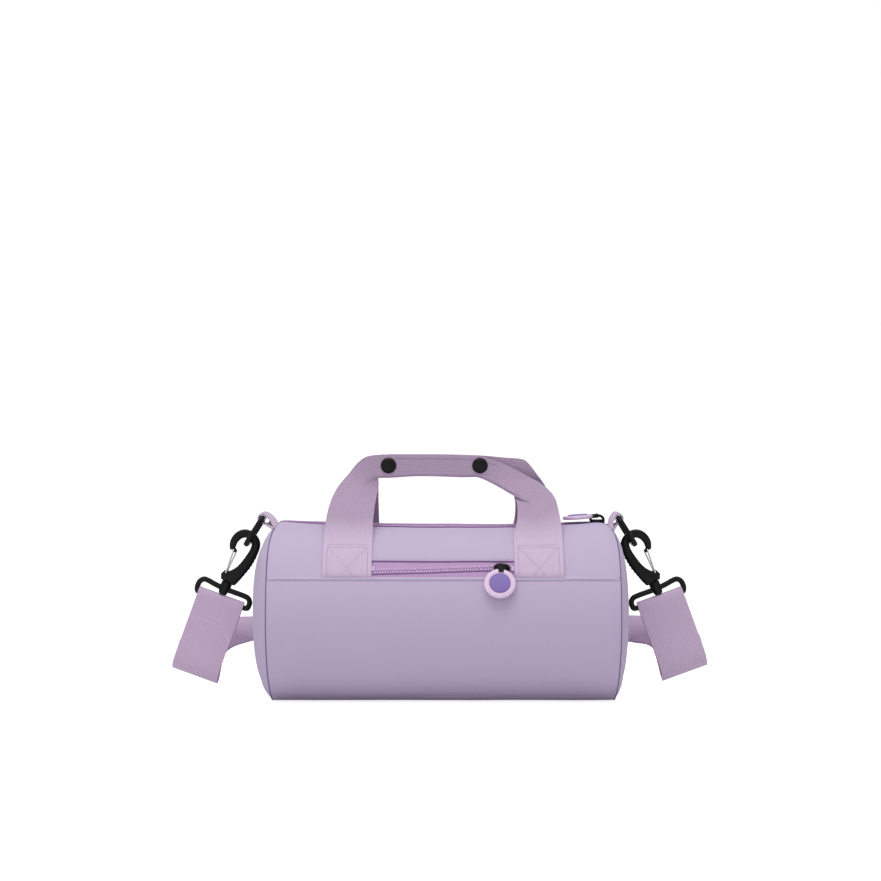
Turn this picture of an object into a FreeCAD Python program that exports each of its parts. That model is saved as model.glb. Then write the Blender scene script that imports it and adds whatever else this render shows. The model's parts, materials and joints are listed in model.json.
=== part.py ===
import FreeCAD, Part
import math
import os

# Barrel bag with two zips, two snapped handles and a clip-on shoulder strap, in millimetres.
# X runs along the bag, the front faces -Y, and Z = 0 is the strip that it rests on.
# Angles round the barrel: 0 faces the front, 90 is the top, 180 the back.
Vector = FreeCAD.Vector
X_AXIS = Vector(1, 0, 0)
Y_AXIS = Vector(0, 1, 0)
Z_AXIS = Vector(0, 0, 1)
FAR = 500.0                   # reach of cutting blocks

# Barrel
BARREL_RADIUS = 72.0
BASE_FLAT = 3.0               # how far the barrel is flattened where it rests
SEAM_HALF_LENGTH = 137.5
END_BULGE = 13.0
PANEL_THICKNESS = 2.0
LINING_THICKNESS = 0.6
SEW_GAP = 0.15                # between sewn neighbours
PIPING_WIDTH = 1.6
PIPING_HEIGHT = 0.9
FRONT_SEAM_ANGLE = 25.7       # seam of the front panels, at the pocket zip
BASE_SEAM_ANGLE = -62.0

# Zips
MAIN_OPENING = 13.0           # between the two panel edges
POCKET_OPENING = 15.0
TAPE_THICKNESS = 0.6
TAPE_DEPTH = 1.5              # middle of the tape below the outer surface
COIL_INNER = 0.6              # each coil row, from the zip's middle line
COIL_OUTER = 2.2
COIL_HEIGHT = 2.4
STOP_LENGTH = 2.5
POCKET_ZIP_START = -53.5
POCKET_ZIP_END = 57.0
POCKET_BAG_DEPTH = 2.6
POCKET_BAG_MARGIN = 8.0
POCKET_BAG_LOW_ANGLE = -40.0
SLIDER_LENGTH = 9.5
SLIDER_WIDTH = 8.4
SLIDER_PLATE = 1.2
SLIDER_LIP = 1.0
RUNNING_GAP = 0.3
MAIN_SLIDER_END = 12.5        # from the end seam to the closed main slider
POCKET_SLIDER_X = 47.0
EAR_THICKNESS = 1.0
EYE_WIDTH = 3.0
PULL_PIN_RADIUS = 0.8
PULL_PIN_RISE = 2.6           # above the slider's top
EYE_WALL = 0.75
PULL_RADIUS = 12.2
PULL_THICKNESS = 3.0
PULL_START = 2.9              # from the pin to the disc's near edge
INSERT_RADIUS = 8.2
INSERT_DEPTH = 0.6
SHANK_THICKNESS = 1.6
SHANK_WIDTH = 2.0
SHANK_BITE = 2.2              # how far the bail's shank goes into the disc
POCKET_PULL_LEAN = 6.0        # degrees that the pocket's disc hangs off to one side
POCKET_PULL_LIFT = 10.0       # degrees that it stands off from lying on the bag

# Handles
WEB_WIDTH = 38.0
WEB_THICKNESS = 2.0
HANDLE_CENTRE_X = 2.0
HANDLE_LEG_X = 74.0           # from the handle's middle to the middle of each leg
HANDLE_HINGE_ANGLE = 52.0
HINGE_TO_ANCHOR = 1.7
GRIP_RISE = 35.0              # from the barrel's top to the grip's lower edge
GRIP_HEIGHT = 18.0
GRIP_HALF_TOP = 62.0
GRIP_HALF_BOTTOM = 73.0
GRIP_GAP = 0.4                # each grip from the plane where the two meet
LEG_STRAIGHT = 30.0           # of the leg's length, before it sweeps in
LEG_SWEEP = 3.0               # how far the sweep bows out from a straight edge
LEG_TOP_INNER = 50.0          # inner edge of the leg where it joins the grip
SNAP_LEFT_X = -41.5
SNAP_RIGHT_X = 31.5
SNAP_CAP_RADIUS = 6.2
SNAP_CAP_HEIGHT = 2.2
SNAP_BODY_RADIUS = 4.2
SNAP_BODY_DEPTH = 2.2
STUD_RADIUS = 2.0
STUD_LENGTH = 1.6
SOCKET_BORE_RADIUS = 2.8
SNAP_POST_RADIUS = 1.5
FIT_GAP = 0.1

# Strap hardware, drawn for the left side and mirrored for the right
TAB_OUT = 4.4                 # from the end seam out to the ring's bar in its tab
TAB_RISE = 2.0                # of that bar above the barrel's top
TAB_WALL = 1.2
TAB_WIDTH = 16.0
TAB_SEWN = 7.0                # of the tab below the barrel's top
RING_BAR_RADIUS = 2.0
RING_BAR_GAP = 0.4
RING_DROP = 24.0              # between the middles of its top and bottom bars
RING_INNER_WIDTH = 22.0
RING_CORNER = 3.0
RING_LEAN = 32.0
HOOK_LEAN = 24.5
STRAP_LEAN = 20.0             # of the strap's drop and the frame that holds it
HOOK_CLEAR = 6.0              # from the bulging end out to the hook's eye
HOOK_EYE_DROP = 20.6          # of the eye below the ring's bar in its tab
HOOK_EYE_RISE = 38.7          # of the eye above the swivel
HOOK_THICKNESS = 7.0
HOOK_OUTER_RADIUS = 11.5
HOOK_INNER_RADIUS = 7.2
HOOK_FOOT = 6.0
HOOK_FOOT_HALF = 6.2
HOOK_SPINE = (12.0, 26.0)     # where the spine is broadest, from the swivel
HOOK_NOSE = (-8.6, 29.4)      # tip of the nose
HOOK_THROAT = (1.0, 15.0)     # foot of the eye, on the spine's inner edge
GATE_WIRE_RADIUS = 0.75
GATE_PIVOT = (-4.0, 9.2)
GATE_TIP_OUTER = (-6.1, 30.6)
GATE_TIP_INNER = (-3.9, 30.6)
GATE_HALF_WIDTH = 2.5
GATE_LUG_HALF = 1.4
GATE_SLOT_END = -0.6          # inner end of the slots that the gate's legs fold into
STEM_RADIUS = 2.2
STEM_LENGTH = 5.0
COLLAR_RADIUS = 3.0
COLLAR_HEIGHT = 1.2
BOSS_RADIUS = 4.8
FRAME_WIDTH = 46.0
FRAME_BAR = 4.5
FRAME_SLOT_WIDTH = 40.0
FRAME_SLOT_HEIGHT = 3.0
STRAP_DROP = 66.0             # from the swivel down to the roll at the bottom
STRAP_SEWN_TAIL = 26.0
STRAP_FLOOR_GAP = 0.4
STRAP_RUN_HALF = 95.0
STRAP_TAIL_END = -60.0
ROLL_LOW = (-2.2, 0.5, -5.6)  # the roll under each drop, from the drop's lower end
ROLL_BACK = (-1.6, 7.0, -6.4)
ROLL_UP = (2.0, 13.0, 0.0)
LEAD_OUT = (40.5, -38.0, 20.6)  # each lead: out from the end seam, and from the back run's middle
LEAD_BEHIND = (21.5, -8.0, 29.6)
LEAD_IN = (-11.5, 13.5, 16.6)
LAYER_GAP = 0.3
ADJUSTER_X = -20.0
ADJUSTER_LENGTH = 14.0
ADJUSTER_WALL = 1.6
ADJUSTER_CLEAR = 1.3          # between the adjuster's top edge and the barrel

# Worked out from the above
AXIS_HEIGHT = BARREL_RADIUS - BASE_FLAT
MAIN_SLIDER_X = SEAM_HALF_LENGTH - MAIN_SLIDER_END
BARREL_TOP = AXIS_HEIGHT + BARREL_RADIUS
GRIP_BOTTOM = BARREL_TOP + GRIP_RISE
GRIP_TOP = GRIP_BOTTOM + GRIP_HEIGHT
TAB_X = -SEAM_HALF_LENGTH - TAB_OUT
TAB_HEIGHT = BARREL_TOP + TAB_RISE
TAB_FOOT = BARREL_TOP - TAB_SEWN
HOOK_EYE_X = -SEAM_HALF_LENGTH - END_BULGE - HOOK_CLEAR
HOOK_EYE_HEIGHT = TAB_HEIGHT - HOOK_EYE_DROP
ADJUSTER_TOP = STRAP_FLOOR_GAP + WEB_WIDTH + LAYER_GAP / 2 + ADJUSTER_WALL
BARREL_REACH = math.sqrt(BARREL_RADIUS ** 2 - max(AXIS_HEIGHT - ADJUSTER_TOP, 0) ** 2)
STRAP_BACK_Y = BARREL_REACH + ADJUSTER_CLEAR + ADJUSTER_WALL + LAYER_GAP / 2 + WEB_THICKNESS / 2
STRAP_RUN_HEIGHT = STRAP_FLOOR_GAP + WEB_WIDTH / 2
EDGE_ANGLE = math.degrees(MAIN_OPENING / 2 / BARREL_RADIUS)
POCKET_EDGE_ANGLE = math.degrees(POCKET_OPENING / 2 / BARREL_RADIUS)
GAP_ANGLE = math.degrees(SEW_GAP / BARREL_RADIUS)
POCKET_ZIP_ANGLE = FRONT_SEAM_ANGLE + POCKET_EDGE_ANGLE
POCKET_WINDOW_TOP = POCKET_ZIP_ANGLE + POCKET_EDGE_ANGLE
TAPE_RADIUS = BARREL_RADIUS - TAPE_DEPTH
SLIDER_CHANNEL = COIL_HEIGHT / 2 + RUNNING_GAP
SLIDER_TOP = SLIDER_CHANNEL + SLIDER_PLATE
WEB_RADIUS = BARREL_RADIUS + FIT_GAP + WEB_THICKNESS / 2
PULL_PIN_AT = TAPE_RADIUS + SLIDER_TOP + PULL_PIN_RISE
PULL_REST = BARREL_RADIUS + PULL_THICKNESS / 2 + RUNNING_GAP
MAIN_PULL_DROOP = math.degrees(math.asin((PULL_PIN_AT - PULL_REST) / (PULL_START + 2 * PULL_RADIUS)))
POCKET_PULL_DROOP = math.degrees(math.acos(PULL_REST / PULL_PIN_AT)) - POCKET_PULL_LIFT
LINING_OUTER = BARREL_RADIUS - PANEL_THICKNESS - SEW_GAP
LINING_INNER = LINING_OUTER - LINING_THICKNESS
GRIP_THICKNESS = 2 * WEB_THICKNESS + FIT_GAP
STEM_LOW = HOOK_FOOT - STEM_LENGTH
STRAP_BAR_RADIUS = FRAME_BAR / 2
STRAP_BAR_DROP = FRAME_BAR + FRAME_SLOT_HEIGHT + STRAP_BAR_RADIUS
STRAP_BEND_INNER = STRAP_BAR_RADIUS + FIT_GAP
STRAP_BEND_OUTER = STRAP_BEND_INNER + WEB_THICKNESS


def around(radius, angle, x=0.0):
    """Point at a radius and angle round the barrel's axis."""
    turn = math.radians(angle)
    return Vector(x, -radius * math.cos(turn), AXIS_HEIGHT + radius * math.sin(turn))


def block(x0, x1, y0, y1, z0, z1):
    return Part.makeBox(x1 - x0, y1 - y0, z1 - z0, Vector(x0, y0, z0))


def rod(radius, start, end):
    line = end - start
    return Part.makeCylinder(radius, line.Length, start, line)


def barrel(radius, floor, half_length):
    """Barrel-shaped prism, cut flat at a height."""
    prism = rod(radius, around(0, 0, -half_length), around(0, 0, half_length))
    return prism.common(block(-FAR, FAR, -FAR, FAR, floor, FAR))


def wedge(start, end, x0=-FAR, x1=FAR):
    """Slice of space between two angles round the barrel."""
    steps = max(2, math.ceil((end - start) / 45.0))
    rim = [around(FAR, start + (end - start) * i / steps, x0) for i in range(steps + 1)]
    centre = around(0, 0, x0)
    outline = Part.makePolygon([centre] + rim + [centre])
    return Part.Face(outline).extrude(X_AXIS * (x1 - x0))


def sector(inner, outer, start, end, x0, x1):
    """Curved slab between two radii and two angles."""
    tube = rod(outer, around(0, 0, x0), around(0, 0, x1))
    tube = tube.cut(rod(inner, around(0, 0, x0 - 1), around(0, 0, x1 + 1)))
    return tube.common(wedge(start, end))


def dome(radius, bulge, floor):
    """Right-hand end of the barrel, a cap of a sphere cut flat below."""
    ball = (radius ** 2 + bulge ** 2) / (2 * bulge)
    centre = around(0, 0, SEAM_HALF_LENGTH + bulge - ball)
    cap = Part.makeSphere(ball, centre)
    return cap.common(block(SEAM_HALF_LENGTH, FAR, -FAR, FAR, floor, FAR))


def mirrored(shape):
    """The same piece on the other end of the bag."""
    return shape.mirror(Vector(0, 0, 0), X_AXIS)


def to_back(shape):
    """The same piece on the other side of the bag."""
    return shape.mirror(Vector(0, 0, 0), Y_AXIS)


def plate(points, thickness):
    """Plate in the XZ plane: straight edges, or an arc where an entry holds two points."""
    edges = []
    here = points[0]
    for step in list(points[1:]) + [points[0]]:
        if isinstance(step[0], tuple):
            middle, there = step
            edges.append(Part.Arc(flat(here), flat(middle), flat(there)).toShape())
        else:
            there = step
            edges.append(Part.LineSegment(flat(here), flat(there)).toShape())
        here = there
    face = Part.Face(Part.Wire(edges))
    face.translate(Y_AXIS * (-thickness / 2))
    return face.extrude(Y_AXIS * thickness)


def flat(point):
    return Vector(point[0], 0, point[1])


def body_panels():
    skin = barrel(BARREL_RADIUS, 0, SEAM_HALF_LENGTH)
    skin = skin.cut(barrel(BARREL_RADIUS - PANEL_THICKNESS, PANEL_THICKNESS, SEAM_HALF_LENGTH + 1))
    upper = skin.common(wedge(FRONT_SEAM_ANGLE + GAP_ANGLE, 90 - EDGE_ANGLE))
    upper = upper.cut(wedge(FRONT_SEAM_ANGLE, POCKET_WINDOW_TOP, POCKET_ZIP_START, POCKET_ZIP_END))
    return {
        "front_upper_panel": upper,
        "front_lower_panel": skin.common(wedge(BASE_SEAM_ANGLE + GAP_ANGLE, FRONT_SEAM_ANGLE)),
        "back_base_panel": skin.common(wedge(90 + EDGE_ANGLE, 360 + BASE_SEAM_ANGLE)),
    }


def end_panel():
    outer = dome(BARREL_RADIUS, END_BULGE, 0)
    inner = dome(BARREL_RADIUS - PANEL_THICKNESS, END_BULGE - PANEL_THICKNESS, PANEL_THICKNESS)
    return outer.cut(inner)


def seam_piping():
    inner = BARREL_RADIUS + SEW_GAP
    ring = barrel(inner + PIPING_HEIGHT, 0, PIPING_WIDTH / 2)
    ring = ring.cut(rod(inner, around(0, 0, -PIPING_WIDTH), around(0, 0, PIPING_WIDTH)))
    ring.translate(X_AXIS * SEAM_HALF_LENGTH)
    return ring


def lining():
    floor = PANEL_THICKNESS + SEW_GAP
    outer = barrel(LINING_OUTER, floor, SEAM_HALF_LENGTH)
    inner = barrel(LINING_INNER, floor + LINING_THICKNESS, SEAM_HALF_LENGTH - LINING_THICKNESS)
    bag = outer.cut(inner)
    bag = bag.cut(wedge(90 - EDGE_ANGLE, 90 + EDGE_ANGLE, -SEAM_HALF_LENGTH, SEAM_HALF_LENGTH))
    window = wedge(FRONT_SEAM_ANGLE, POCKET_WINDOW_TOP, POCKET_ZIP_START, POCKET_ZIP_END)
    return bag.cut(window)


def pocket_bag():
    """Flat pouch behind the front seam, open towards the pocket zip."""
    outer = LINING_INNER - SEW_GAP
    inner = outer - POCKET_BAG_DEPTH
    low = POCKET_BAG_LOW_ANGLE
    high = POCKET_WINDOW_TOP + math.degrees(POCKET_BAG_MARGIN / BARREL_RADIUS)
    wall_angle = math.degrees(LINING_THICKNESS / BARREL_RADIUS)
    x0 = POCKET_ZIP_START - POCKET_BAG_MARGIN
    x1 = POCKET_ZIP_END + POCKET_BAG_MARGIN
    tray = sector(inner - LINING_THICKNESS, outer, low, high, x0, x1)
    hollow = sector(inner, outer + 1, low + wall_angle, high - wall_angle,
                    x0 + LINING_THICKNESS, x1 - LINING_THICKNESS)
    return tray.cut(hollow)


def zip_tape(side, x0, x1, edge_angle):
    """One tape of a zip that lies along the top; side is -1 for the front one."""
    near = math.degrees((COIL_OUTER + SEW_GAP) / TAPE_RADIUS)
    far = edge_angle - GAP_ANGLE
    inner = TAPE_RADIUS - TAPE_THICKNESS / 2
    if side < 0:
        return sector(inner, inner + TAPE_THICKNESS, 90 - far, 90 - near, x0, x1)
    return sector(inner, inner + TAPE_THICKNESS, 90 + near, 90 + far, x0, x1)


def zip_coil(side, x0, x1):
    height = AXIS_HEIGHT + TAPE_RADIUS
    y0, y1 = sorted((side * COIL_INNER, side * COIL_OUTER))
    ends = STOP_LENGTH + FIT_GAP
    return block(x0 + ends, x1 - ends, y0, y1, height - COIL_HEIGHT / 2, height + COIL_HEIGHT / 2)


def zip_stops(x0, x1):
    height = AXIS_HEIGHT + TAPE_RADIUS
    low = height - COIL_HEIGHT / 2
    high = height + COIL_HEIGHT / 2
    first = block(x0, x0 + STOP_LENGTH, -COIL_OUTER, COIL_OUTER, low, high)
    second = block(x1 - STOP_LENGTH, x1, -COIL_OUTER, COIL_OUTER, low, high)
    return Part.makeCompound([first, second])


def zip_slider(x, pin_along_zip):
    """Two plates joined by a thin post between the coil rows, with ears and a pin for the pull."""
    half = SLIDER_LENGTH / 2
    side = SLIDER_WIDTH / 2
    tape_room = TAPE_THICKNESS / 2 + RUNNING_GAP
    post_half = COIL_INNER - RUNNING_GAP
    body = block(-half, half, -post_half, post_half, -SLIDER_CHANNEL, SLIDER_CHANNEL)
    for up in (-1, 1):
        z0, z1 = sorted((up * SLIDER_CHANNEL, up * SLIDER_TOP))
        body = body.fuse(block(-half, half, -side, side, z0, z1))
        z0, z1 = sorted((up * tape_room, up * SLIDER_CHANNEL))
        for y in (-side, side - SLIDER_LIP):
            body = body.fuse(block(-half, half, y, y + SLIDER_LIP, z0, z1))
    pin_height = SLIDER_TOP + PULL_PIN_RISE
    ear_in = EYE_WIDTH / 2 + RUNNING_GAP
    ear_out = ear_in + EAR_THICKNESS
    ear_half = PULL_PIN_RADIUS + EAR_THICKNESS
    grip = rod(PULL_PIN_RADIUS, Vector(0, -ear_out, pin_height), Vector(0, ear_out, pin_height))
    for y in (-ear_out, ear_in):
        grip = grip.fuse(block(-ear_half, ear_half, y, y + EAR_THICKNESS, SLIDER_TOP,
                               pin_height + ear_half))
    if pin_along_zip:
        grip.rotate(Vector(0, 0, 0), Z_AXIS, 90)
    body = body.fuse(grip).removeSplitter()
    body.translate(Vector(x, 0, AXIS_HEIGHT + TAPE_RADIUS))
    return body


def pull_bail():
    """Eye on the slider's pin and the shank that holds the disc; the pin is at the origin."""
    bore = PULL_PIN_RADIUS + RUNNING_GAP
    half = EYE_WIDTH / 2
    eye = rod(bore + EYE_WALL, Vector(0, -half, 0), Vector(0, half, 0))
    shank = block(-PULL_START - SHANK_BITE, 0, -SHANK_WIDTH / 2, SHANK_WIDTH / 2,
                  -SHANK_THICKNESS / 2, SHANK_THICKNESS / 2)
    bore_cut = rod(bore, Vector(0, -EYE_WIDTH, 0), Vector(0, EYE_WIDTH, 0))
    return eye.fuse(shank).cut(bore_cut).removeSplitter()


def pull_disc():
    """Round pull, recessed in both faces, with a slot for the shank."""
    centre = -PULL_START - PULL_RADIUS
    half = PULL_THICKNESS / 2
    disc = rod(PULL_RADIUS, Vector(centre, 0, -half), Vector(centre, 0, half))
    disc = disc.makeFillet(half * 0.7, [edge for edge in disc.Edges if edge.Closed])
    for z0, z1 in ((half - INSERT_DEPTH, half + 1), (-half - 1, INSERT_DEPTH - half)):
        disc = disc.cut(rod(INSERT_RADIUS, Vector(centre, 0, z0), Vector(centre, 0, z1)))
    slot_y = SHANK_WIDTH / 2 + FIT_GAP
    slot_z = SHANK_THICKNESS / 2 + FIT_GAP
    return disc.cut(block(-PULL_START - SHANK_BITE - FIT_GAP, 0, -slot_y, slot_y, -slot_z, slot_z))


def pull_inserts():
    centre = -PULL_START - PULL_RADIUS
    half = PULL_THICKNESS / 2
    radius = INSERT_RADIUS - FIT_GAP
    discs = [
        rod(radius, Vector(centre, 0, z0), Vector(centre, 0, z0 + INSERT_DEPTH - FIT_GAP))
        for z0 in (half - INSERT_DEPTH + FIT_GAP, -half)
    ]
    return Part.makeCompound(discs)


def main_pull(shape):
    """Lay a pull piece from the main slider towards -X, its far edge down on the bag."""
    shape.rotate(Vector(0, 0, 0), Y_AXIS, -MAIN_PULL_DROOP)
    shape.translate(around(PULL_PIN_AT, 90, MAIN_SLIDER_X))
    return shape


def pocket_pull(shape):
    """Hang a pull piece from the pocket slider, leaning in to the bag."""
    shape.rotate(Vector(0, 0, 0), Z_AXIS, 90 - POCKET_PULL_LEAN)
    shape.rotate(Vector(0, 0, 0), X_AXIS, POCKET_PULL_DROOP)
    shape.translate(around(PULL_PIN_AT, 90, POCKET_SLIDER_X))
    return at_pocket(shape)


def at_pocket(shape):
    """Turn a piece of a zip along the top down to the pocket zip's angle."""
    shape.rotate(around(0, 0), X_AXIS, 90 - POCKET_ZIP_ANGLE)
    return shape


def main_zip():
    x1 = SEAM_HALF_LENGTH - SEW_GAP
    return {
        "main_zip_tape_front": zip_tape(-1, -x1, x1, EDGE_ANGLE),
        "main_zip_tape_back": zip_tape(1, -x1, x1, EDGE_ANGLE),
        "main_zip_coil_front": zip_coil(-1, -x1, x1),
        "main_zip_coil_back": zip_coil(1, -x1, x1),
        "main_zip_stops": zip_stops(-x1, x1),
        "main_slider": zip_slider(MAIN_SLIDER_X, False),
        "main_pull_bail": main_pull(pull_bail()),
        "main_pull_disc": main_pull(pull_disc()),
        "main_pull_inserts": main_pull(pull_inserts()),
    }


def pocket_zip():
    x0 = POCKET_ZIP_START + SEW_GAP
    x1 = POCKET_ZIP_END - SEW_GAP
    return {
        "pocket_zip_tape_lower": at_pocket(zip_tape(-1, x0, x1, POCKET_EDGE_ANGLE)),
        "pocket_zip_tape_upper": at_pocket(zip_tape(1, x0, x1, POCKET_EDGE_ANGLE)),
        "pocket_zip_coil_lower": at_pocket(zip_coil(-1, x0, x1)),
        "pocket_zip_coil_upper": at_pocket(zip_coil(1, x0, x1)),
        "pocket_zip_stops": at_pocket(zip_stops(x0, x1)),
        "pocket_slider": at_pocket(zip_slider(POCKET_SLIDER_X, True)),
        "pocket_pull_bail": pocket_pull(pull_bail()),
        "pocket_pull_disc": pocket_pull(pull_disc()),
        "pocket_pull_inserts": pocket_pull(pull_inserts()),
    }


def handle_anchor(side):
    """Sewn foot of a front handle's leg; side is -1 for the left one."""
    x = HANDLE_CENTRE_X + side * HANDLE_LEG_X
    end = HANDLE_HINGE_ANGLE - math.degrees(HINGE_TO_ANCHOR / WEB_RADIUS)
    inner = WEB_RADIUS - WEB_THICKNESS / 2
    return sector(inner, inner + WEB_THICKNESS, FRONT_SEAM_ANGLE, end,
                  x - WEB_WIDTH / 2, x + WEB_WIDTH / 2)


def handle_leg():
    """Free part of the left leg, rounded at the fold and swept in towards the grip."""
    hinge = around(WEB_RADIUS, HANDLE_HINGE_ANGLE)
    top = Vector(0, -GRIP_GAP - GRIP_THICKNESS / 2, GRIP_BOTTOM + WEB_THICKNESS)
    length = (top - hinge).Length
    outer = -HANDLE_LEG_X - WEB_WIDTH / 2
    inner = outer + WEB_WIDTH
    bow = ((outer - GRIP_HALF_BOTTOM) / 2 - LEG_SWEEP, (LEG_STRAIGHT + length) / 2 + LEG_SWEEP)
    bow_in = ((inner - LEG_TOP_INNER) / 2 - LEG_SWEEP / 2, (LEG_STRAIGHT + length) / 2)
    leg = plate([(outer, 0), (outer, LEG_STRAIGHT), (bow, (-GRIP_HALF_BOTTOM, length)),
                 (-LEG_TOP_INNER, length), (bow_in, (inner, LEG_STRAIGHT)), (inner, 0)], WEB_THICKNESS)
    leg = leg.fuse(rod(WEB_THICKNESS / 2, Vector(outer, 0, 0), Vector(inner, 0, 0)))
    lean = math.degrees(math.atan2(top.y - hinge.y, top.z - hinge.z))
    leg.rotate(Vector(0, 0, 0), X_AXIS, -lean)
    leg.translate(hinge)
    return leg


def handle():
    """Both free legs and the folded grip of the front handle."""
    grip = plate([(-GRIP_HALF_BOTTOM, GRIP_BOTTOM), (GRIP_HALF_BOTTOM, GRIP_BOTTOM),
                  (GRIP_HALF_TOP, GRIP_TOP), (-GRIP_HALF_TOP, GRIP_TOP)], GRIP_THICKNESS)
    grip.translate(Y_AXIS * (-GRIP_GAP - GRIP_THICKNESS / 2))
    whole = grip.fuse([handle_leg(), mirrored(handle_leg())]).removeSplitter()
    whole.translate(X_AXIS * HANDLE_CENTRE_X)
    return whole


def snap_holes(shape):
    """Room in a front grip for the snaps' posts and inner halves."""
    depth = GRIP_GAP + SNAP_BODY_DEPTH + FIT_GAP
    for x in (SNAP_LEFT_X, SNAP_RIGHT_X):
        shape = shape.cut(snap_rod(SNAP_BODY_RADIUS + FIT_GAP, x, -depth, 0))
        shape = shape.cut(snap_rod(SNAP_POST_RADIUS + FIT_GAP, x, -depth - GRIP_THICKNESS, 0))
    return shape


def snap_rod(radius, x, y0, y1):
    height = (GRIP_BOTTOM + GRIP_TOP) / 2
    return rod(radius, Vector(x, y0, height), Vector(x, y1, height))


def snap_caps():
    """Domed caps on the outside of the front grip, with posts through the webbing."""
    seat = -GRIP_GAP - GRIP_THICKNESS - FIT_GAP
    post_end = -GRIP_GAP - SNAP_BODY_DEPTH - FIT_GAP
    caps = []
    for x in (SNAP_LEFT_X, SNAP_RIGHT_X):
        cap = snap_rod(SNAP_CAP_RADIUS, x, seat - SNAP_CAP_HEIGHT, seat)
        rim = [edge for edge in cap.Edges if edge.Closed and edge.BoundBox.YMax < seat - FIT_GAP]
        cap = cap.makeFillet(SNAP_CAP_HEIGHT * 0.8, rim)
        caps.append(cap.fuse(snap_rod(SNAP_POST_RADIUS, x, seat, post_end)))
    return Part.makeCompound(caps)


def snap_sockets():
    depth = -GRIP_GAP - SNAP_BODY_DEPTH
    bore_end = -GRIP_GAP - STUD_LENGTH
    cups = []
    for x in (SNAP_LEFT_X, SNAP_RIGHT_X):
        cup = snap_rod(SNAP_BODY_RADIUS, x, depth, -GRIP_GAP)
        cups.append(cup.cut(snap_rod(SOCKET_BORE_RADIUS, x, bore_end, 0)))
    return Part.makeCompound(cups)


def snap_studs():
    studs = []
    for x in (SNAP_LEFT_X, SNAP_RIGHT_X):
        base = snap_rod(SNAP_BODY_RADIUS, x, GRIP_GAP, GRIP_GAP + SNAP_BODY_DEPTH)
        studs.append(base.fuse(snap_rod(STUD_RADIUS, x, GRIP_GAP - STUD_LENGTH, GRIP_GAP)))
    return Part.makeCompound(studs)


def handles():
    front = handle()
    parts = {
        "front_handle": snap_holes(front),
        "back_handle": to_back(snap_holes(front)),
        "front_snap_caps": snap_caps(),
        "back_snap_caps": to_back(snap_caps()),
        "front_snap_sockets": snap_sockets(),
        "back_snap_studs": snap_studs(),
    }
    for name, side in (("left", -1), ("right", 1)):
        parts["front_%s_anchor" % name] = handle_anchor(side)
        parts["back_%s_anchor" % name] = to_back(handle_anchor(side))
    return parts


def ring_tab():
    """Webbing loop sewn at the top of the left end seam, round the ring's bar."""
    bore = RING_BAR_RADIUS + RING_BAR_GAP
    outer = bore + TAB_WALL
    left = TAB_X - outer
    right = TAB_X + outer
    tab = plate([(right, TAB_FOOT), (right, TAB_HEIGHT),
                 ((TAB_X, TAB_HEIGHT + outer), (left, TAB_HEIGHT)), (left, TAB_FOOT)], TAB_WIDTH)
    bar = Vector(TAB_X, 0, TAB_HEIGHT)
    tab = tab.cut(rod(bore, bar - Y_AXIS * TAB_WIDTH, bar + Y_AXIS * TAB_WIDTH))
    seat = dome(BARREL_RADIUS + SEW_GAP, END_BULGE + SEW_GAP, 0)
    tab = tab.cut(mirrored(seat))
    clear = rod(BARREL_RADIUS + PIPING_HEIGHT + 2 * SEW_GAP, around(0, 0, -SEAM_HALF_LENGTH - PIPING_WIDTH),
                around(0, 0, 0))
    return tab.cut(clear)


def ring():
    """Rounded ring that hangs from the left tab."""
    bar = RING_BAR_RADIUS
    half = RING_INNER_WIDTH / 2
    hole = rounded_frame(half, bar - RING_DROP, -bar, RING_CORNER)
    outline = rounded_frame(half + 2 * bar, -bar - RING_DROP, bar, RING_CORNER + 2 * bar)
    body = outline.cut(hole)
    body = body.makeFillet(bar * 0.7, [edge for edge in body.Edges if on_face(edge, bar)])
    body.rotate(Vector(0, 0, 0), Z_AXIS, 90)
    body.rotate(Vector(0, 0, 0), Y_AXIS, RING_LEAN)
    body.translate(Vector(TAB_X, 0, TAB_HEIGHT))
    return body


def rounded_frame(half, low, high, corner):
    """Rounded rectangle as thick as the ring's bar, in the XZ plane."""
    thickness = 2 * RING_BAR_RADIUS
    body = block(-half, half, -thickness / 2, thickness / 2, low, high)
    return body.makeFillet(corner, [edge for edge in body.Edges if edge.BoundBox.YLength > thickness / 2])


def on_face(edge, half):
    """Whether an edge lies in one of the two flat faces of a plate of that half thickness."""
    box = edge.BoundBox
    return box.YLength < half / 10 and abs(abs(box.Center.y) - half) < half / 10


def at_swivel(shape, lean):
    """Move a piece drawn about the swivel to the left end of the strap, leaning outward."""
    shape.rotate(Vector(0, 0, 0), Y_AXIS, lean)
    shape.translate(swivel_point())
    return shape


def swivel_point():
    lean = math.radians(HOOK_LEAN)
    return Vector(HOOK_EYE_X - HOOK_EYE_RISE * math.sin(lean), 0,
                  HOOK_EYE_HEIGHT - HOOK_EYE_RISE * math.cos(lean))


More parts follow.
